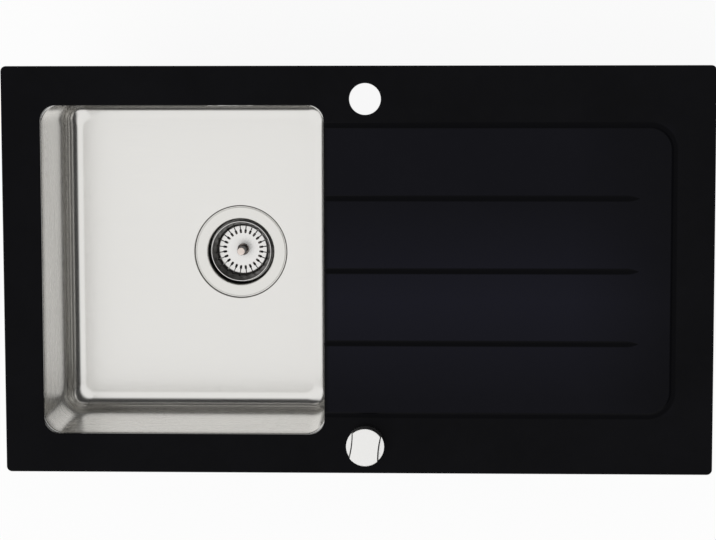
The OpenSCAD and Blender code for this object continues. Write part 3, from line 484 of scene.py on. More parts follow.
@dataclass(frozen=True)
class Finish:
    """A material that is built once under its name."""

    name: str

    def material(self) -> Material:
        """The material, made the first time that it is asked for."""
        found = bpy.data.materials.get(self.name)
        if found:
            return found
        made = bpy.data.materials.new(self.name)
        g = fresh_graph(made)
        inputs = self.dress(g, g.add("ShaderNodeTexCoord").outputs["Object"])
        g.add("ShaderNodeOutputMaterial", {"Surface": g.add("ShaderNodeBsdfPrincipled", inputs).outputs[0]})
        return made

    def coat(self, piece: Object) -> None:
        """Makes this the only material of a piece, which is shaded smooth."""
        piece.data.shade_smooth()
        piece.data.materials.clear()
        piece.data.materials.append(self.material())

    def dress(self, g: Graph, where: NodeSocket) -> Inputs:
        """What goes into the material's Principled shader.

        Args:
            g: The material's graph.
            where: Object coordinates.

        Returns:
            A value or a result for each input that isn't left alone.
        """
        raise NotImplementedError

    def effect(self, g: Graph, name: str, fill: Fill, where: NodeSocket,
               **further: object) -> Sequence[NodeSocket]:
        """Places an effect's node group on the object coordinates and returns its results."""
        tree = effect_group(name, fill, further)
        return g.add("ShaderNodeGroup", {"Vector": where, **further}, node_tree=tree).outputs

    def cloud(self, g: Graph, where: NodeSocket) -> NodeSocket:
        """Slow changes of tone."""
        return self.effect(g, "Clouding", clouding, where)["Cloud"]

    def grain(self, g: Graph, where: NodeSocket) -> Sequence[NodeSocket]:
        """The skin from a mould, as a value and a normal."""
        return self.effect(g, "Moulded grain", moulding, where)


@dataclass(frozen=True)
class BlackGlass(Finish):
    """Polished glass, black all through, with faint wiping marks in its gloss and a painted sheen, a lighter
    bluish tone, over the drainer's field.
    """

    tint: Colour = (0.0032, 0.0032, 0.004)
    # lighter bluish tone painted over the drainer's field: a painted sheen
    field_painted_sheen: Colour = (0.0088, 0.0088, 0.014)
    groove_tint: Colour = (0.003, 0.003, 0.0037)
    gloss: Point = (0.035, 0.45)
    groove_gloss: float = 0.5
    rough: Point = (0.03, 0.055)

    def dress(self, g: Graph, where: NodeSocket) -> Inputs:
        """What goes into the shader."""
        facing = g.add("ShaderNodeLayerWeight", {"Blend": 0.5}).outputs["Facing"]
        drainer = self.effect(g, "Milling", milling, where)
        gloss = g.times(g.span(facing, *self.gloss, 0.05, 0.5),
                        g.span(drainer["Groove"], 1.0, self.groove_gloss))
        cloud = self.cloud(g, where)
        # painted sheen: the drainer's field takes a lighter bluish tone
        tone = g.blend(drainer["Field"], g.vary(cloud, self.tint, 0.8, 1.25), self.field_painted_sheen)
        return {"IOR": 1.5, "Specular IOR Level": gloss, "Roughness": g.span(cloud, *self.rough),
                "Base Color": g.blend(drainer["Groove"], tone, self.groove_tint)}


@dataclass(frozen=True)
class BrushedSteel(Finish):
    """Stainless steel with a fine brushed skin, coarser on upright faces and matt from the mill outside, with
    painted light: a lighter tone on the walls that face +X and +Y.
    """

    tone: Colour = (0.792, 0.781, 0.756)
    rough: Point = (0.16, 0.22)
    streak: float = 0.93
    # lighter tone painted on the walls that face +X and +Y: painted light
    upright_painted_light: Colour = (0.93, 0.92, 0.895)
    upright_rough: float = 0.3
    mill_tone: Colour = (0.47, 0.47, 0.46)
    mill_rough: float = 0.18
    middle: Place = (-211.5, 0.0, -80.0)

    def dress(self, g: Graph, where: NodeSocket) -> Inputs:
        """What goes into the shader."""
        brush, cloud = self.effect(g, "Brushing", brushing, where), self.cloud(g, where)
        mixed, upright = g.weigh(0.75, brush["Lines"], cloud), brush["Upright"]
        away = g.vector("SUBTRACT", where, Vector(self.middle) * MM)
        outside = g.span(g.vector("DOT_PRODUCT", away, g.normal(), 1), 0.0, 1.0, -0.004, 0.004)
        streaks = g.vary(mixed, (1.0, 1.0, 1.0), self.streak, 1.0)
        # painted light: walls that face +X and +Y take a lighter tone than the floor
        bright = g.blend(1.0, g.blend(upright, self.tone, self.upright_painted_light), streaks, "MULTIPLY")
        rough = g.plus(g.span(mixed, *self.rough, 0.3, 0.7),
                       g.times(upright, self.upright_rough - self.rough[1]))
        return {"Metallic": 1.0, "Roughness": g.plus(rough, g.times(outside, self.mill_rough)),
                "Base Color": g.blend(outside, bright, g.vary(cloud, self.mill_tone, 0.94, 1.06)),
                "Normal": brush["Normal"]}


@dataclass(frozen=True)
class TurnedSteel(Finish):
    """Steel or satin chrome with fine lines round an upright axis, and painted shade, a much darker tone, on
    steep faces near the axis.
    """

    tone: Colour = (0.74, 0.73, 0.7)
    rough: Point = (0.16, 0.24)
    axis: Place = (0.0, 0.0, 0.0)
    within: float = 0.0
    # share of the tone left on steep faces near the axis: painted shade
    painted_shade: float = 0.1

    def dress(self, g: Graph, where: NodeSocket) -> Inputs:
        """What goes into the shader."""
        turned = self.effect(g, "Turning", turning, where, Axis=Vector(self.axis) * MM,
                             Within=self.within * MM)
        mixed = g.weigh(0.8, turned["Lines"], self.cloud(g, where))
        # painted shade: steep faces near the axis take a much darker tone
        tone = g.blend(turned["Hollow"], g.vary(mixed, self.tone, 0.96, 1.04), tinted(self.tone, self.painted_shade))
        return {"Metallic": 1.0, "Base Color": tone, "Roughness": g.span(mixed, *self.rough, 0.3, 0.7),
                "Normal": turned["Normal"]}


@dataclass(frozen=True)
class ZincPlate(Finish):
    """Zinc-plated steel: cool, slightly blotched, duller in places."""

    tone: Colour = (0.56, 0.58, 0.6)
    warmth: Colour = (1.08, 1.04, 0.93)
    rough: Point = (0.32, 0.48)

    def dress(self, g: Graph, where: NodeSocket) -> Inputs:
        """What goes into the shader."""
        cloud = self.cloud(g, where)
        return {"Metallic": 1.0, "Base Color": g.blend(cloud, self.tone, tinted(self.tone, *self.warmth)),
                "Roughness": g.span(cloud, *self.rough), "Normal": self.grain(g, where)["Normal"]}


@dataclass(frozen=True)
class Moulded(Finish):
    """Plastic or rubber from a mould. Steep faces can carry painted shade, darker and less glossy than level
    ones, as in a deep hole.
    """

    tone: Colour = (0.5, 0.5, 0.5)
    rough: Point = (0.35, 0.5)
    spread: float = 0.1
    # share of the tone left on steep faces; below 1 it paints shade there
    side: float = 1.0

    def dress(self, g: Graph, where: NodeSocket) -> Inputs:
        """What goes into the shader."""
        grain = self.grain(g, where)
        tone = g.vary(self.cloud(g, where), self.tone, 1 - self.spread, 1 + self.spread)
        inputs: Inputs = {"Base Color": tone, "Roughness": g.span(grain["Grain"], *self.rough, 0.3, 0.7),
                          "Normal": grain["Normal"]}
        # painted shade: steep faces get a darker tone and a weaker gloss
        if self.side < 1.0:
            steep = g.steep(0.3, 0.7)
            inputs["Base Color"] = g.blend(steep, tone, tinted(self.tone, self.side))
            inputs["Specular IOR Level"] = g.span(steep, 0.5, 0.05)
        return inputs


@dataclass(frozen=True)
class PadRubber(Finish):
    """Sound-deadening pad: heavy black sheet with a pressed diamond pattern."""

    tone: Colour = (0.035, 0.035, 0.037)
    ridge_share: float = 1.5
    rough: Point = (0.7, 0.5)
    ridge_turn: float = 780.0

    def dress(self, g: Graph, where: NodeSocket) -> Inputs:
        """What goes into the shader."""
        x, y, z = g.split(where)
        slants = (g.math(sign, g.plus(x, y), z) for sign in ("ADD", "SUBTRACT"))
        pattern = g.math("MAXIMUM", *(g.math("SINE", g.times(slant, self.ridge_turn)) for slant in slants))
        return {"Base Color": g.blend(g.span(pattern, 0.0, 1.0, -1.0, 1.0), self.tone,
                                      tinted(self.tone, self.ridge_share)),
                "Roughness": g.span(pattern, *self.rough, -1.0, 1.0),
                "Normal": g.bump(pattern, 0.5, 0.3, self.grain(g, where)["Normal"])}


WASTE_AXIS: Place = (-157.5, 6.0, 0.0)
KNOB_AXIS: Place = (10.0, -212.0, 0.0)
BOWL_MIDDLE: Point = (-211.5, 0.0)
BOWL_SIZE: Point = (343.0, 400.0)
FLOOR_Z = -178.0
GLASS_TOP = 12.0
OVERFLOW_AT: Place = (WASTE_AXIS[0], 199.698, -45.0)
WALL_LEAN = 0.36

WASTE_RADIUS = 44.0
BRIGHT: Colour = (0.82, 0.81, 0.79)

GLASS = BlackGlass("Black glass")
BOWL_STEEL = BrushedSteel("Brushed bowl steel")
# The cup, basket and knob paint shade on their steep faces within the given radius of their axes; the rosette
# paints none.
CUP_STEEL = TurnedSteel("Turned cup steel", axis=WASTE_AXIS, within=WASTE_RADIUS)
BASKET_STEEL = TurnedSteel("Bright basket steel", BRIGHT, (0.26, 0.32), WASTE_AXIS, WASTE_RADIUS)
ROSETTE_STEEL = TurnedSteel("Bright overflow steel", BRIGHT, (0.14, 0.2))
SATIN = TurnedSteel("Satin knob", (0.86, 0.855, 0.84), (0.3, 0.38), KNOB_AXIS, 20.8)
ZINC = ZincPlate("Zinc plate")
# The ivory post paints shade on its steep sides, as in the dark hole round it.
IVORY = Moulded("Ivory plastic", (0.95, 0.83, 0.76), (0.25, 0.35), 0.04, 0.04)
WHITE = Moulded("White plastic", (0.78, 0.78, 0.76), (0.3, 0.4), 0.04)
GREY = Moulded("Grey plastic", (0.3, 0.31, 0.32), (0.4, 0.55), 0.06)
BLACK = Moulded("Black plastic", (0.02, 0.02, 0.022), (0.35, 0.5), 0.15)
HOSE = Moulded("Hose plastic", (0.42, 0.43, 0.44), (0.4, 0.5), 0.06)
RUBBER = Moulded("Seal rubber", (0.022, 0.022, 0.022), (0.5, 0.65), 0.2)
FOAM = Moulded("Foam seal", (0.035, 0.035, 0.036), (0.75, 0.9), 0.3)
ADHESIVE = Moulded("Adhesive", (0.012, 0.012, 0.012), (0.3, 0.45), 0.2)
PAD = PadRubber("Sound pad")


# Glass deck


@dataclass
class GlassDeck:
    """The black glass deck: polished edge, bowl opening, two holes and the milled drainer.

    Each hole is given by the x and y of its middle and its radius.
    """

    size: Point = (860.0, 495.0)
    corner: float = 6.5
    low: float = 4.0
    opening_corner: float = 18.5
    polish: float = 1.0
    hole_polish: float = 0.8
    tap_hole: Place = (10.0, 207.5, 19.0)
    knob_hole: Place = (10.0, -212.0, 17.5)
    border_y: float = 176.0
    right_x: float = 381.0
    border_corner: float = 30.0
    bend_steps: int = 24
    start_x: float = -60.0
    straight_y: tuple[float, ...] = (-88.0, 0.0, 88.0)
    straight_end: float = 341.0
    taper: float = 16.0
    taper_steps: int = 10
    groove_half: float = 5.13
    groove_depth: float = 1.0
    groove_steps: int = 20
    lip: float = 0.04
    cap_wider: float = 0.6
    cap_z: float = 1.0

    def plate(self) -> BMesh:
        """The plate with its opening and holes, before the drainer is milled."""
        bm = bmesh.new()
        walls: list[list[Ring]] = [[], [], [], []]
        upper = [(back * self.polish, GLASS_TOP - down * self.polish) for back, down in quarter()]
        lower = [(back * self.polish, self.low + down * self.polish) for back, down in reversed(quarter())]
        for back, z in upper + lower:
            walls[0].append(plate_ring(bm, (self.size[0] - 2 * back, self.size[1] - 2 * back),
                                       self.corner - back, (0, 0, z), 8))
            walls[1].append(plate_ring(bm, (BOWL_SIZE[0] + 2 * back, BOWL_SIZE[1] + 2 * back),
                                       self.opening_corner + back, (*BOWL_MIDDLE, z), 20))
            for rings, (x, y, r) in zip(walls[2:], (self.tap_hole, self.knob_hole)):
                rings.append(circle_ring(bm, r + self.hole_polish * back, (x, y, z)))
        for rings in walls:
            skin(bm, rings)
        for index in (0, -1):
            bmesh.ops.triangle_fill(bm, edges=[e for rings in walls for e in rings[index]], use_beauty=True)
        return outward(bm)

    def section(self, bm: BMesh, y: float) -> BMFace:
        """Adds a groove's section at its start, height from the glass's surface, closed above the glass."""
        half, depth = self.groove_half, self.groove_depth + self.lip
        across = [-half + 2 * half * i / self.groove_steps for i in range(self.groove_steps + 1)]
        wave = [(at, self.lip - depth * (0.5 + 0.5 * math.cos(math.pi * at / half))) for at in across]
        wave += [(half + self.cap_wider, self.cap_z), (-half - self.cap_wider, self.cap_z)]
        return bm.faces.new([bm.verts.new((self.start_x, y + at, z)) for at, z in wave])

    @staticmethod
    def run(bm: BMesh, face: BMFace, shift: Place) -> BMFace:
        """Pulls a groove's end face along a straight line and returns the new end face."""
        made = bmesh.ops.extrude_discrete_faces(bm, faces=[face])["faces"][0]
        bmesh.ops.translate(bm, vec=shift, verts=made.verts)
        return made

    def bend(self, bm: BMesh, face: BMFace, centre: Point) -> BMFace:
        """Swings a groove's end face a quarter turn round a centre and returns the new end face."""
        for _ in range(self.bend_steps):
            face = bmesh.ops.extrude_discrete_faces(bm, faces=[face])["faces"][0]
            bmesh.ops.rotate(bm, cent=(*centre, 0), verts=face.verts,
                             matrix=Matrix.Rotation(math.radians(90 / self.bend_steps), 3, "Z"))
        return face

    def border_cutter(self) -> BMesh:
        """Cutter for the groove round the drainer, with its height from the glass's surface."""
        bm = bmesh.new()
        arc_x, inner_y = self.right_x - self.border_corner, self.border_y - self.border_corner
        face = self.section(bm, -self.border_y)
        face = self.run(bm, face, (arc_x - self.start_x, 0, 0))
        face = self.bend(bm, face, (arc_x, -inner_y))
        face = self.run(bm, face, (0, 2 * inner_y, 0))
        face = self.bend(bm, face, (arc_x, inner_y))
        self.run(bm, face, (self.start_x - arc_x, 0, 0))
        return outward(bm)

    def straight_cutter(self, y: float) -> BMesh:
        """Cutter for one straight groove, which runs out to a point, with its height from the surface."""
        bm = bmesh.new()
        face = self.run(bm, self.section(bm, y), (self.straight_end - self.taper - self.start_x, 0, 0))
        for i in range(1, self.taper_steps + 1):
            before, now = (math.cos(math.pi / 2 * k / (self.taper_steps + 0.35)) for k in (i - 1, i))
            face = self.run(bm, face, (self.taper / self.taper_steps, 0, 0))
            x = face.calc_center_median()[0]
            bmesh.ops.scale(bm, vec=(1, now / before, 1), space=Matrix.Translation((-x, -y, 0)),
                            verts=face.verts)
            for vert in face.verts:
                if vert.co.z < self.cap_z / 2:
                    vert.co.z *= now / before
        return outward(bm)

    @staticmethod
    def mark_levels(piece: Object) -> None:
        """Marks the edges round the deck's level faces as sharp, so that these shade exactly flat."""
        bm = bmesh.new()
        bm.from_mesh(piece.data)
        for edge in bm.edges:
            level = [abs(f.normal.z) > 0.99999 for f in edge.link_faces]
            if len(level) == 2 and level[0] != level[1]:
                edge.smooth = False
        bm.to_mesh(piece.data)
        bm.free()

    def build(self) -> None:
        """Makes the deck."""
        piece = to_object(self.plate(), "deck_plate")
        grooves = [self.border_cutter()] + [self.straight_cutter(y) for y in self.straight_y]
        carve(piece, [move(groove, (0, 0, GLASS_TOP)) for groove in grooves])
        self.mark_levels(place(piece, 40, GLASS, Body.SINK, "black_glass", "glass_deck"))


# Bowl


@dataclass
class PressedBowl:
    """The pressed steel bowl: flange, walls, round floor edge and the recess for the strainer."""

    rim_radius: float = 24.0
    rim_bend: float = 1.6
    draft: float = 1.0
    wall_steps: int = 9
    floor_radius: float = 22.0
    floor_steps: int = 24
    floor_corner: float = 14.0
    floor_run: float = 0.6
    flange: float = 18.0
    flange_z: float = 3.0
    gauge: float = 1.0
    recess_radius: float = 59.5
    recess_depth: float = 3.0
    recess_bend: float = 1.3
    drain_radius: float = 44.7
    overflow_hole: float = 23.0

    def ring(self, bm: BMesh, inset: float, radius: float, z: float) -> Ring:
        """Adds one level ring of the bowl's inner face."""
        size = (BOWL_SIZE[0] - 2 * inset, BOWL_SIZE[1] - 2 * inset)
        return plate_ring(bm, size, radius, (*BOWL_MIDDLE, z), 24)

    def sides(self, bm: BMesh) -> list[Ring]:
        """Adds the rings from the flange's edge down to the floor."""
        bend, round_r, run = self.rim_bend, self.floor_radius, self.floor_run
        top, axis_z = self.flange_z - bend, FLOOR_Z + round_r
        rings = [self.ring(bm, -self.flange, self.rim_radius + self.flange, self.flange_z)]
        rings += [self.ring(bm, -bend * back, self.rim_radius + bend * back, self.flange_z - bend * down)
                  for back, down in quarter()]
        lean = math.atan(self.draft / (self.flange_z - axis_z))
        angles = [lean + (math.pi / 2 - lean) * i / self.floor_steps for i in range(self.floor_steps + 1)]
        curve = [(self.draft + round_r * (1 - math.cos(a)), axis_z - round_r * math.sin(a)) for a in angles]
        foot_inset, foot_z = curve[0]
        for t in (i / self.wall_steps for i in range(1, self.wall_steps)):
            inset = foot_inset * t
            rings.append(self.ring(bm, inset, self.rim_radius - inset, top + (foot_z - top) * t))
        foot_r = self.rim_radius - foot_inset
        change, whole = self.floor_corner - foot_r, curve[-1][0] - foot_inset
        rings += [self.ring(bm, inset, foot_r + change * (inset - foot_inset) / whole, z)
                  for inset, z in curve]
        rings.append(self.ring(bm, curve[-1][0] + run, self.floor_corner - run, FLOOR_Z))
        return rings

    def recess(self, bm: BMesh) -> list[Ring]:
        """Adds the rings of the recess for the strainer, from the floor inwards."""
        r, soft, depth = self.recess_radius, self.recess_bend, self.recess_depth
        steps = [(r + soft + 0.8, 0.0)]
        steps += [(r + soft * back, -soft * down) for back, down in quarter()]
        steps += [(r - soft * down, -depth + soft * back) for back, down in quarter()]
        steps += [(r - soft - 0.8, -depth), (self.drain_radius, -depth)]
        return [circle_ring(bm, radius, (*WASTE_AXIS[:2], FLOOR_Z + z), 128) for radius, z in steps]

    def build(self) -> None:
        """Makes the bowl."""
        bm = bmesh.new()
        sides, recess = self.sides(bm), self.recess(bm)
        skin(bm, sides)
        skin(bm, recess)
        bmesh.ops.triangle_fill(bm, edges=sides[-1] + recess[0], use_beauty=True)
        outward(bm)
        if sum(f.normal.z * f.calc_area() for f in bm.faces) < 0:
            bmesh.ops.reverse_faces(bm, faces=bm.faces)
        piece = to_object(bm, "bowl_pressing")
        wall = piece.modifiers.new("gauge", "SOLIDIFY")
        wall.thickness = self.gauge * MM
        wall.offset = -1.0
        apply_modifiers(piece)
        carve(piece, [move(rod(self.overflow_hole, 8, steps=96), OVERFLOW_AT, -90 - WALL_LEAN, "X")])
        place(piece, 40, BOWL_STEEL, Body.SINK, "bowl_steel", "bowl")


# Strainer waste


@dataclass
class Strainer:
    """The strainer cup, its basket and the stopper's post. Heights are from the bowl's floor."""

    ledge_z: float = -22.0
    drains: int = 6
    rim_r: float = 39.0
    basket_floor: float = -36.0
    slots: int = 24
    slot_w: float = 1.3
    slot_in: float = 21.0
    slot_top: float = -23.4
    mouth_out: float = 26.0
    mouth_w: float = 2.9

    @staticmethod
    def at(bm: BMesh) -> BMesh:
        """Moves a mesh from the strainer's own axis to its place in the sink."""
        return move(bm, (*WASTE_AXIS[:2], FLOOR_Z))

    def cup(self) -> None:
        """Makes the cup, from its flange down to the hub."""
        flange_r, throat_r, ledge_r, seat_r, hub_r, t = 57.5, 42.0, 36.0, 26.0, 6.2, 1.2
        top, under, ledge, seat, foot = -0.8, -2.0, self.ledge_z, -48.0, -56.0
        outline = [(flange_r, under), (flange_r, top, 0.9), (throat_r, top, 2.6), (throat_r, ledge, 1.5),
                   (ledge_r, ledge, 1.2), (ledge_r, seat, 2.0), (seat_r, seat, 1.5), (seat_r, foot + t, 2.0),
                   (hub_r, foot + t), (hub_r, foot), (seat_r + t, foot), (seat_r + t, seat - t, 1.5),
                   (ledge_r + t, seat - t, 2.5), (ledge_r + t, ledge - t), (throat_r + t, ledge - t, 2.0),
                   (throat_r + t, under)]
        piece = to_object(self.at(lathe(outline, 160, 6)), "cup_pressing")
        drain_r, drain_at = 6.4, 17.6
        hole = move(rod(drain_r, 6, (drain_at, 0, foot)), (0, 0, 0), 180 / self.drains)
        carve(piece, [self.at(repeat_round(hole, self.drains))])
        place(piece, 40, CUP_STEEL, Body.SINK, "bowl_steel", "strainer_cup")

    def slot_cutter(self, start: float, end: float, width: float) -> BMesh:
        """Cutter for a ring of slots in the basket, each with a round inner end.

        Args:
            start: Radius where each slot begins.
            end: Radius where it ends.
            width: Width of a slot.

        Returns:
            The cutter.
        """
        bm = bmesh.new()
        length, bottom = end - start, self.basket_floor - 3
        height = self.slot_top - bottom
        middle = Matrix.Translation((start + length / 2, 0, bottom + height / 2))
        bmesh.ops.create_cube(bm, size=1.0, matrix=middle @ Matrix.Diagonal((length, width, height, 1)))
        ends = [e for e in bm.edges if all(abs(v.co.x - start) < 1e-3 for v in e.verts)
                and abs(e.verts[0].co.z - e.verts[1].co.z) > 1]
        bmesh.ops.bevel(bm, geom=ends, offset=width / 2 - 0.01, offset_type="OFFSET", affect="EDGES",
                        segments=6, profile=0.5, material=-1)
        return outward(repeat_round(move(bm, (0, 0, 0), 180 / self.slots), self.slots))

    def basket(self) -> None:
        """Makes the basket with its slots."""
        bead_r, shoulder_r, side_r, dish_r, disc_r, hole_r = 36.8, 35.2, 33.0, 31.2, 25.9, 7.3
        rim_r, rim_z, rim_w, ledge, floor, t = self.rim_r, -6.0, 1.3, self.ledge_z, self.basket_floor, 0.8
        dish, slope = floor + 0.9, floor + 3.5
        outline = [(hole_r, floor - t, 0.3), (disc_r, floor - t, 2.0), (dish_r + t, dish - t, 0.8),
                   (side_r + t, slope, 0.8), (shoulder_r, ledge), (bead_r, ledge, 0.3),
                   (bead_r, ledge + 1.2, 0.3), (shoulder_r + 0.3, ledge + 1.8),
                   (rim_r - 0.5, rim_z - 1.2), (rim_r, rim_z - 1.2, 0.4),
                   (rim_r, rim_z, 0.55), (rim_r - rim_w, rim_z, 0.55), (shoulder_r - 0.6, ledge + 1.8, 2.0),
                   (side_r, slope + 0.4, 0.8), (dish_r, dish, 0.8), (disc_r, floor, 1.4),
                   (hole_r, floor, 0.3)]
        piece = to_object(self.at(lathe(outline, 192, 5)), "basket_pressing")
        carve(piece, [self.at(self.slot_cutter(self.slot_in, self.mouth_out, self.mouth_w)),
                      self.at(self.slot_cutter(self.mouth_out - 1, rim_r, self.slot_w))])
        place(piece, 35, BASKET_STEEL, Body.BASKET, "basket_steel", "strainer_basket")

    def stopper(self) -> None:
        """Makes the stopper: its plate under the basket and the post that shows in the basket's hole."""
        plug_r, lip_r, post_r, foot, lip, top, post_top = 21.0, 23.0, 5.0, -46.8, -46.1, -45.3, -2.0
        outline = [(0, foot), (plug_r, foot), (plug_r, lip), (lip_r, lip), (lip_r, top, 0.3),
                   (post_r, top, 1.2), (post_r, post_top, 1.0), (0, post_top)]
        piece = to_object(self.at(lathe(outline, 96)), "stopper_post")
        place(piece, 40, IVORY, Body.STOPPER, "ivory_plastic", "stopper")

    def build(self) -> None:
        """Makes the cup, basket and stopper."""
        self.cup()
        self.basket()
        self.stopper()


# Overflow


@dataclass
class Overflow:
    """The overflow in the bowl's back wall: cover plate with its boss, and the ribbed hose."""

    plate_r: float = 29.0
    rise: float = 1.6
    holes: int = 8
    hole_r: float = 3.5
    axis_y: float = 218.4
    hose_top: float = -79.3
    hose_level: float = -210.0
    hose_end_y: float = 77.3
    bend_r: float = 60.0
    hose_r: float = 12.0
    rib: float = 1.4
    bore: float = 9.4
    pitch: float = 5.0

    def on_wall(self, bm: BMesh) -> BMesh:
        """Turns a mesh so that its axis runs out through the leaning back wall, from the cover's face."""
        return move(move(bm, (0, 0, -self.rise)), OVERFLOW_AT, -90 - WALL_LEAN, "X")

    def plate(self) -> None:
        """Makes the cover plate with its ring of holes."""
        r, boss_r, sink_r, bore_r, t, boss_t = self.plate_r, 8.0, 4.7, 2.6, self.rise, 3.4
        outline = [(sink_r, 0.0, 0.2), (r - t / 2, 0.0, 0.7), (r, t), (boss_r, t), (boss_r, boss_t),
                   (bore_r, boss_t), (bore_r, sink_r - bore_r)]
        piece = to_object(self.on_wall(lathe(outline, 128)), "overflow_plate")
        carve(piece, [self.on_wall(repeat_round(rod(self.hole_r, 8, (r * 0.52, 0, 0)), self.holes))])
        place(piece, 35, ROSETTE_STEEL, Body.SINK, "basket_steel", "overflow_rosette")

    def path(self, s: float) -> tuple[float, float, float]:
        """Where the hose's middle line is after a length of it: y, z and the angle of its fall in radians."""
        r, drop = self.bend_r, self.hose_top - self.hose_level - self.bend_r
        turned = min(max(0.0, (s - drop) / r), math.pi / 2)
        level = max(0.0, s - drop - r * math.pi / 2)
        return (self.axis_y - r * (1 - math.cos(turned)) - level,
                self.hose_top - min(s, drop) - r * math.sin(turned), math.pi / 2 - turned)

    def hose(self) -> None:
        """Makes the ribbed hose: turned straight, then laid along its path."""
        total = (self.hose_top - self.hose_level + self.axis_y - self.hose_end_y
                 - (2 - math.pi / 2) * self.bend_r)
        ribs = int(total // self.pitch)
        pitch, valley = total / ribs, self.hose_r - self.rib
        outline = [(valley + self.rib * (0.5 - 0.5 * math.cos(2 * math.pi * i / 6)) ** 0.7, pitch * i / 6)
                   for i in range(ribs * 6 + 1)]
        outline += [(self.bore, total * i / (ribs * 2)) for i in range(ribs * 2, -1, -1)]
        bm = lathe(outline, 32)
        for vert in bm.verts:
            y, z, fall = self.path(vert.co.z)
            across, up = vert.co.x, vert.co.y
            vert.co = (OVERFLOW_AT[0] + across, y + up * math.sin(fall), z - up * math.cos(fall))
        piece = to_object(outward(bm), "ribbed_hose")
        place(piece, 60, HOSE, Body.SINK, "hose_plastic", "overflow_hose")

    def build(self) -> None:
        """Makes the cover plate and the hose."""
        self.plate()
        self.hose()


# Control


@dataclass
class Control:
    """The knob that opens the waste and its cable."""

    ledge: float = 27.0
    waist: float = 31.3
    grip_r: float = 110.0
    grip_steps: int = 720
    seam_w: float = 1.5
    seam_d: float = 3.4
    turn: float = -7.0
    cable_r: float = 2.5
    start: Place = (-2.0, -189.07, -17.0)
    end: Place = (-128.8, 6.0, -279.0)
    way: tuple[Place, ...] = ((-2, -142, -30), (-4, -116, -66), (-8, -90, -124), (-14, -62, -190),
                              (-28, -30, -244), (-60, 2, -275))

    def knob(self) -> None:
        """Makes the knob: a disc with two hollow-sided ledges that leave a grip across it."""
        r, inner_r, bore_r, foot, inner, bore, top = 23.0, 21.2, 5.05, 12.5, 18.4, 30.0, 34.0
        outline = [(0, top), (r, top, 1.1), (r, foot, 0.4), (inner_r, foot), (inner_r, inner),
                   (bore_r, inner), (bore_r, bore), (0, bore)]
        piece = to_object(move(lathe(outline, 180, 5), KNOB_AXIS), "knob_cap")
        near, far = self.grip_r - self.seam_w, self.grip_r + 0.02
        seam = [(near, self.ledge - 0.3), (far, self.ledge - self.seam_d), (far, self.ledge + 2),
                (near, self.ledge + 2)]
        cutters = []
        for side in (-1, 1):
            x = side * (self.waist / 2 + self.grip_r)
            cutters += [rod(self.grip_r, 20, (x, 0, self.ledge + 10), self.grip_steps),
                        move(lathe(seam, self.grip_steps), (x, 0, 0))]
        carve(piece, [move(cutter, KNOB_AXIS, self.turn) for cutter in cutters])
        ease_edges(piece, 0.45, 3)
        apply_modifiers(piece)
        keep_flats(piece)
        place(piece, 50, SATIN, Body.KNOB, "satin_chrome", "control_knob")

    def line(self, per_span: int = 10) -> list[Vector]:
        """Points on a smooth curve from the knob's housing to the waste's lever box."""
        first, last = Vector(self.start), Vector(self.end)
        points = [first + Vector((0, away, 0)) for away in (0, 8, 18)] + [Vector(p) for p in self.way]
        points += [last + Vector((away, 0, 0)) for away in (20, 8, 0)]
        line = []
        for i in range(len(points) - 1):
            a, b, c, d = (points[max(0, min(len(points) - 1, i + k))] for k in (-1, 0, 1, 2))
            for t in (step / per_span for step in range(per_span)):
                line.append(0.5 * (2 * b + (c - a) * t + (2 * a - 5 * b + 4 * c - d) * t ** 2
                                   + (3 * b - a - 3 * c + d) * t ** 3))
        return line + [last]

    def cable(self) -> None:
        """Makes the cable's sheath as a round tube along its line."""
        line = self.line()
        curve = bpy.data.curves.new("cable_line", "CURVE")
        curve.dimensions = "3D"
        curve.bevel_depth = self.cable_r * MM
        curve.bevel_resolution = 5
        curve.use_fill_caps = True
        spline = curve.splines.new("POLY")
        spline.points.add(len(line) - 1)
        for point, at in zip(spline.points, line):
            point.co = (*(at * MM), 1.0)
        holder = link(bpy.data.objects.new("cable_line", curve))
        piece = link(bpy.data.objects.new("cable_sheath", as_mesh(holder)))
        bpy.data.objects.remove(holder)
        place(piece, 60, BLACK, Body.SINK, "black_plastic", "control_cable")

    def build(self) -> None:
        """Makes the knob and the cable."""
        self.knob()
        self.cable()


# Parts that keep their own meshes


@dataclass(frozen=True)
class PlainParts:
    """The nodes whose own meshes show, by finish, each with the width in millimetres of its eased edges."""

    by_finish: tuple[tuple[Finish, dict[str, float]], ...] = (
        (ADHESIVE, {"glass_bond": 0.1}),
        (ZINC, {"support_frame": 0.4, "clip_brackets": 0.3, "clip_jaws": 0.3, "clip_screws": 0.15,
                "hollow_screw": 0.3, "lever_pin": 0.15, "lift_rod": 0.2, "overflow_screw": 0.1,
                "knob_spindle": 0.2, "cable_adjuster": 0.3, "cable_gland": 0.3}),
        (FOAM, {"worktop_seal": 0.3}),
        (PAD, {"sound_pads": 0.5}),
        (RUBBER, {"cup_gasket": 0.2, "body_gasket": 0.2, "rod_seal": 0.15, "stopper_seal": 0.15,
                  "overflow_gasket": 0.2, "knob_washer": 0.2}),
        (GREY, {"waste_body": 0.3, "lever_cover": 0.3, "overflow_elbow": 0.3}),
        (WHITE, {"lift_lever": 0.3, "hose_nut_upper": 0.3, "hose_nut_lower": 0.3, "cable_drum": 0.3,
                 "knob_nut": 0.3}),
        (BLACK, {"knob_housing": 0.3, "housing_cap": 0.3}),
    )
    join_within: float = 0.02

    def build(self, nodes: dict[str, Object]) -> None:
        """Gives each node its finish, and live modifiers that ease its edges and smooth its shading.

        Args:
            nodes: The part's objects by name.
        """
        for finish, widths in self.by_finish:
            for name, width in widths.items():
                piece = nodes[name]
                finish.coat(piece)
                piece.modifiers.new("join", "WELD").merge_threshold = self.join_within * MM
                ease_edges(piece, width, 2)
                keep_flats(piece)
                LOG.info("%s: %s", name, finish.name)


# Studio


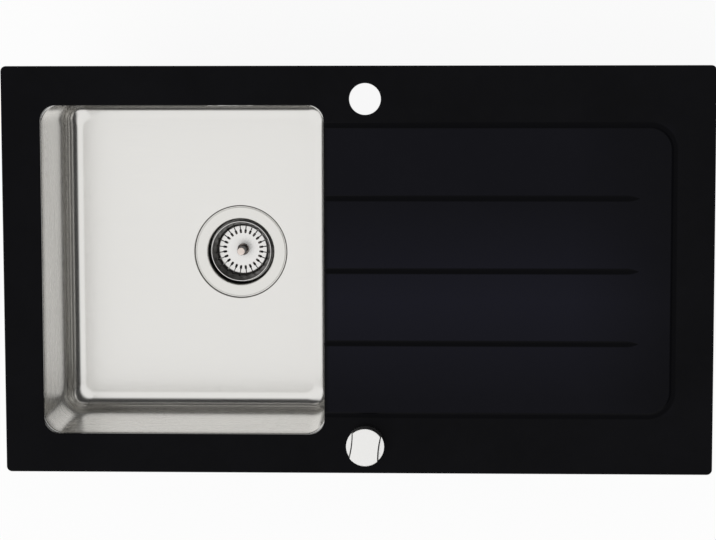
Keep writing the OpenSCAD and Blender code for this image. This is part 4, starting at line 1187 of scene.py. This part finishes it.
@dataclass
class Studio:
    """Camera, pale floor and light. In reflections the sky is bright above and dark towards its sides."""

    eye: Place = (116.0, 286.0, 2872.0)
    aim: Place = (1.3, 1.4, GLASS_TOP)
    roll: float = 0.115
    lens: float = 119.7
    floor_z: float = -290.0
    floor_half: float = 20000.0
    floor_glow: float = 0.9
    floor_white: float = 0.9
    matt_sky: float = 0.6
    back_share: float = 0.85
    back_right_fade: Point = (0.42, 0.56)
    front_left_fade: Point = (0.84, 0.94)
    dark: float = 0.05
    lamp_from: Place = (-0.5, -0.45, 1.0)
    lamp_power: float = 1.2
    lamp_angle: float = 50.0

    def camera(self) -> None:
        """Looks down at the deck from a little towards the back and right, framed as the photograph is."""
        data = bpy.data.cameras.new("camera")
        data.sensor_width = 36.0
        data.lens = self.lens
        data.clip_end = 100.0
        made = link(bpy.data.objects.new("camera", data))
        back = (Vector(self.eye) - Vector(self.aim)).normalized()
        roll = math.radians(self.roll)
        side = Vector((math.sin(roll), math.cos(roll), 0.0)).cross(back).normalized()
        turn = Matrix((side, back.cross(side), back)).transposed().to_4x4()
        made.matrix_world = Matrix.Translation(Vector(self.eye) * MM) @ turn
        bpy.context.scene.camera = made

    def floor(self) -> None:
        """Adds the pale floor, which glows a little where it is seen so that it stays white."""
        bm = bmesh.new()
        bmesh.ops.create_grid(bm, x_segments=1, y_segments=1, size=self.floor_half,
                              matrix=Matrix.Translation((0, 0, self.floor_z)))
        made = to_object(bm, "studio_floor")
        surface = bpy.data.materials.new("Studio floor")
        g = fresh_graph(surface)
        rays = g.add("ShaderNodeLightPath").outputs
        seen = g.math("MAXIMUM", rays["Is Camera Ray"],
                      g.math("MAXIMUM", rays["Is Glossy Ray"], rays["Is Transmission Ray"]))
        paint = g.add("ShaderNodeBsdfDiffuse", {"Color": (*[self.floor_white] * 3, 1)})
        glow = g.add("ShaderNodeEmission", {"Color": (1, 1, 1, 1), "Strength": 1.0})
        mixed = g.add("ShaderNodeMixShader", {0: g.times(seen, self.floor_glow), 1: paint.outputs[0],
                                              2: glow.outputs[0]})
        g.add("ShaderNodeOutputMaterial", {"Surface": mixed.outputs[0]})
        made.data.materials.append(surface)

    def world(self) -> None:
        """Lights the scene from a wide bright sky to the left and front, darker to the right and back."""
        world = bpy.data.worlds.new("Studio world")
        bpy.context.scene.world = world
        g = fresh_graph(world)
        rays = g.add("ShaderNodeLightPath").outputs
        x, y, _ = g.split(g.add("ShaderNodeTexCoord").outputs["Generated"])
        right, behind = (g.math("MAXIMUM", value, 0.0) for value in (x, g.times(y, self.back_share)))
        back_right = g.math("SQRT", g.plus(g.times(right, right), g.times(behind, behind)))
        front_left = g.times(g.math("MINIMUM", x, y), -1.0)
        sky = g.math("MAXIMUM", g.times(g.span(back_right, 1.0, 0.05, *self.back_right_fade),
                                        g.span(front_left, 1.0, 0.1, *self.front_left_fade)), self.dark)
        matt = rays["Is Diffuse Ray"]
        lit = g.plus(g.times(matt, self.matt_sky), g.times(g.math("SUBTRACT", 1.0, matt), sky))
        strength = g.math("MAXIMUM", rays["Is Camera Ray"], lit)
        shell = g.add("ShaderNodeBackground", {"Color": (1, 1, 1, 1), "Strength": strength})
        g.add("ShaderNodeOutputWorld", {"Surface": shell.outputs[0]})

    def lamp(self) -> None:
        """Adds one soft lamp for shape and shadow."""
        data = bpy.data.lights.new("soft_key", "SUN")
        data.energy = self.lamp_power
        data.angle = math.radians(self.lamp_angle)
        made = link(bpy.data.objects.new("soft_key", data))
        made.rotation_euler = Vector(self.lamp_from).to_track_quat("Z", "Y").to_euler()
        made.visible_glossy = False

    def build(self) -> None:
        """Sets up the camera, floor, world and lamp."""
        self.camera()
        self.floor()
        self.world()
        self.lamp()
        bpy.context.scene.view_settings.view_transform = "Standard"


def main() -> None:
    """Builds the whole scene."""
    logging.basicConfig(level=logging.INFO, format="%(message)s")
    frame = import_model()
    for assembly in (Studio(), GlassDeck(), PressedBowl(), Strainer(), Overflow(), Control()):
        assembly.build()
    PlainParts().build(frame["nodes"])


if __name__ == "__main__":
    main()
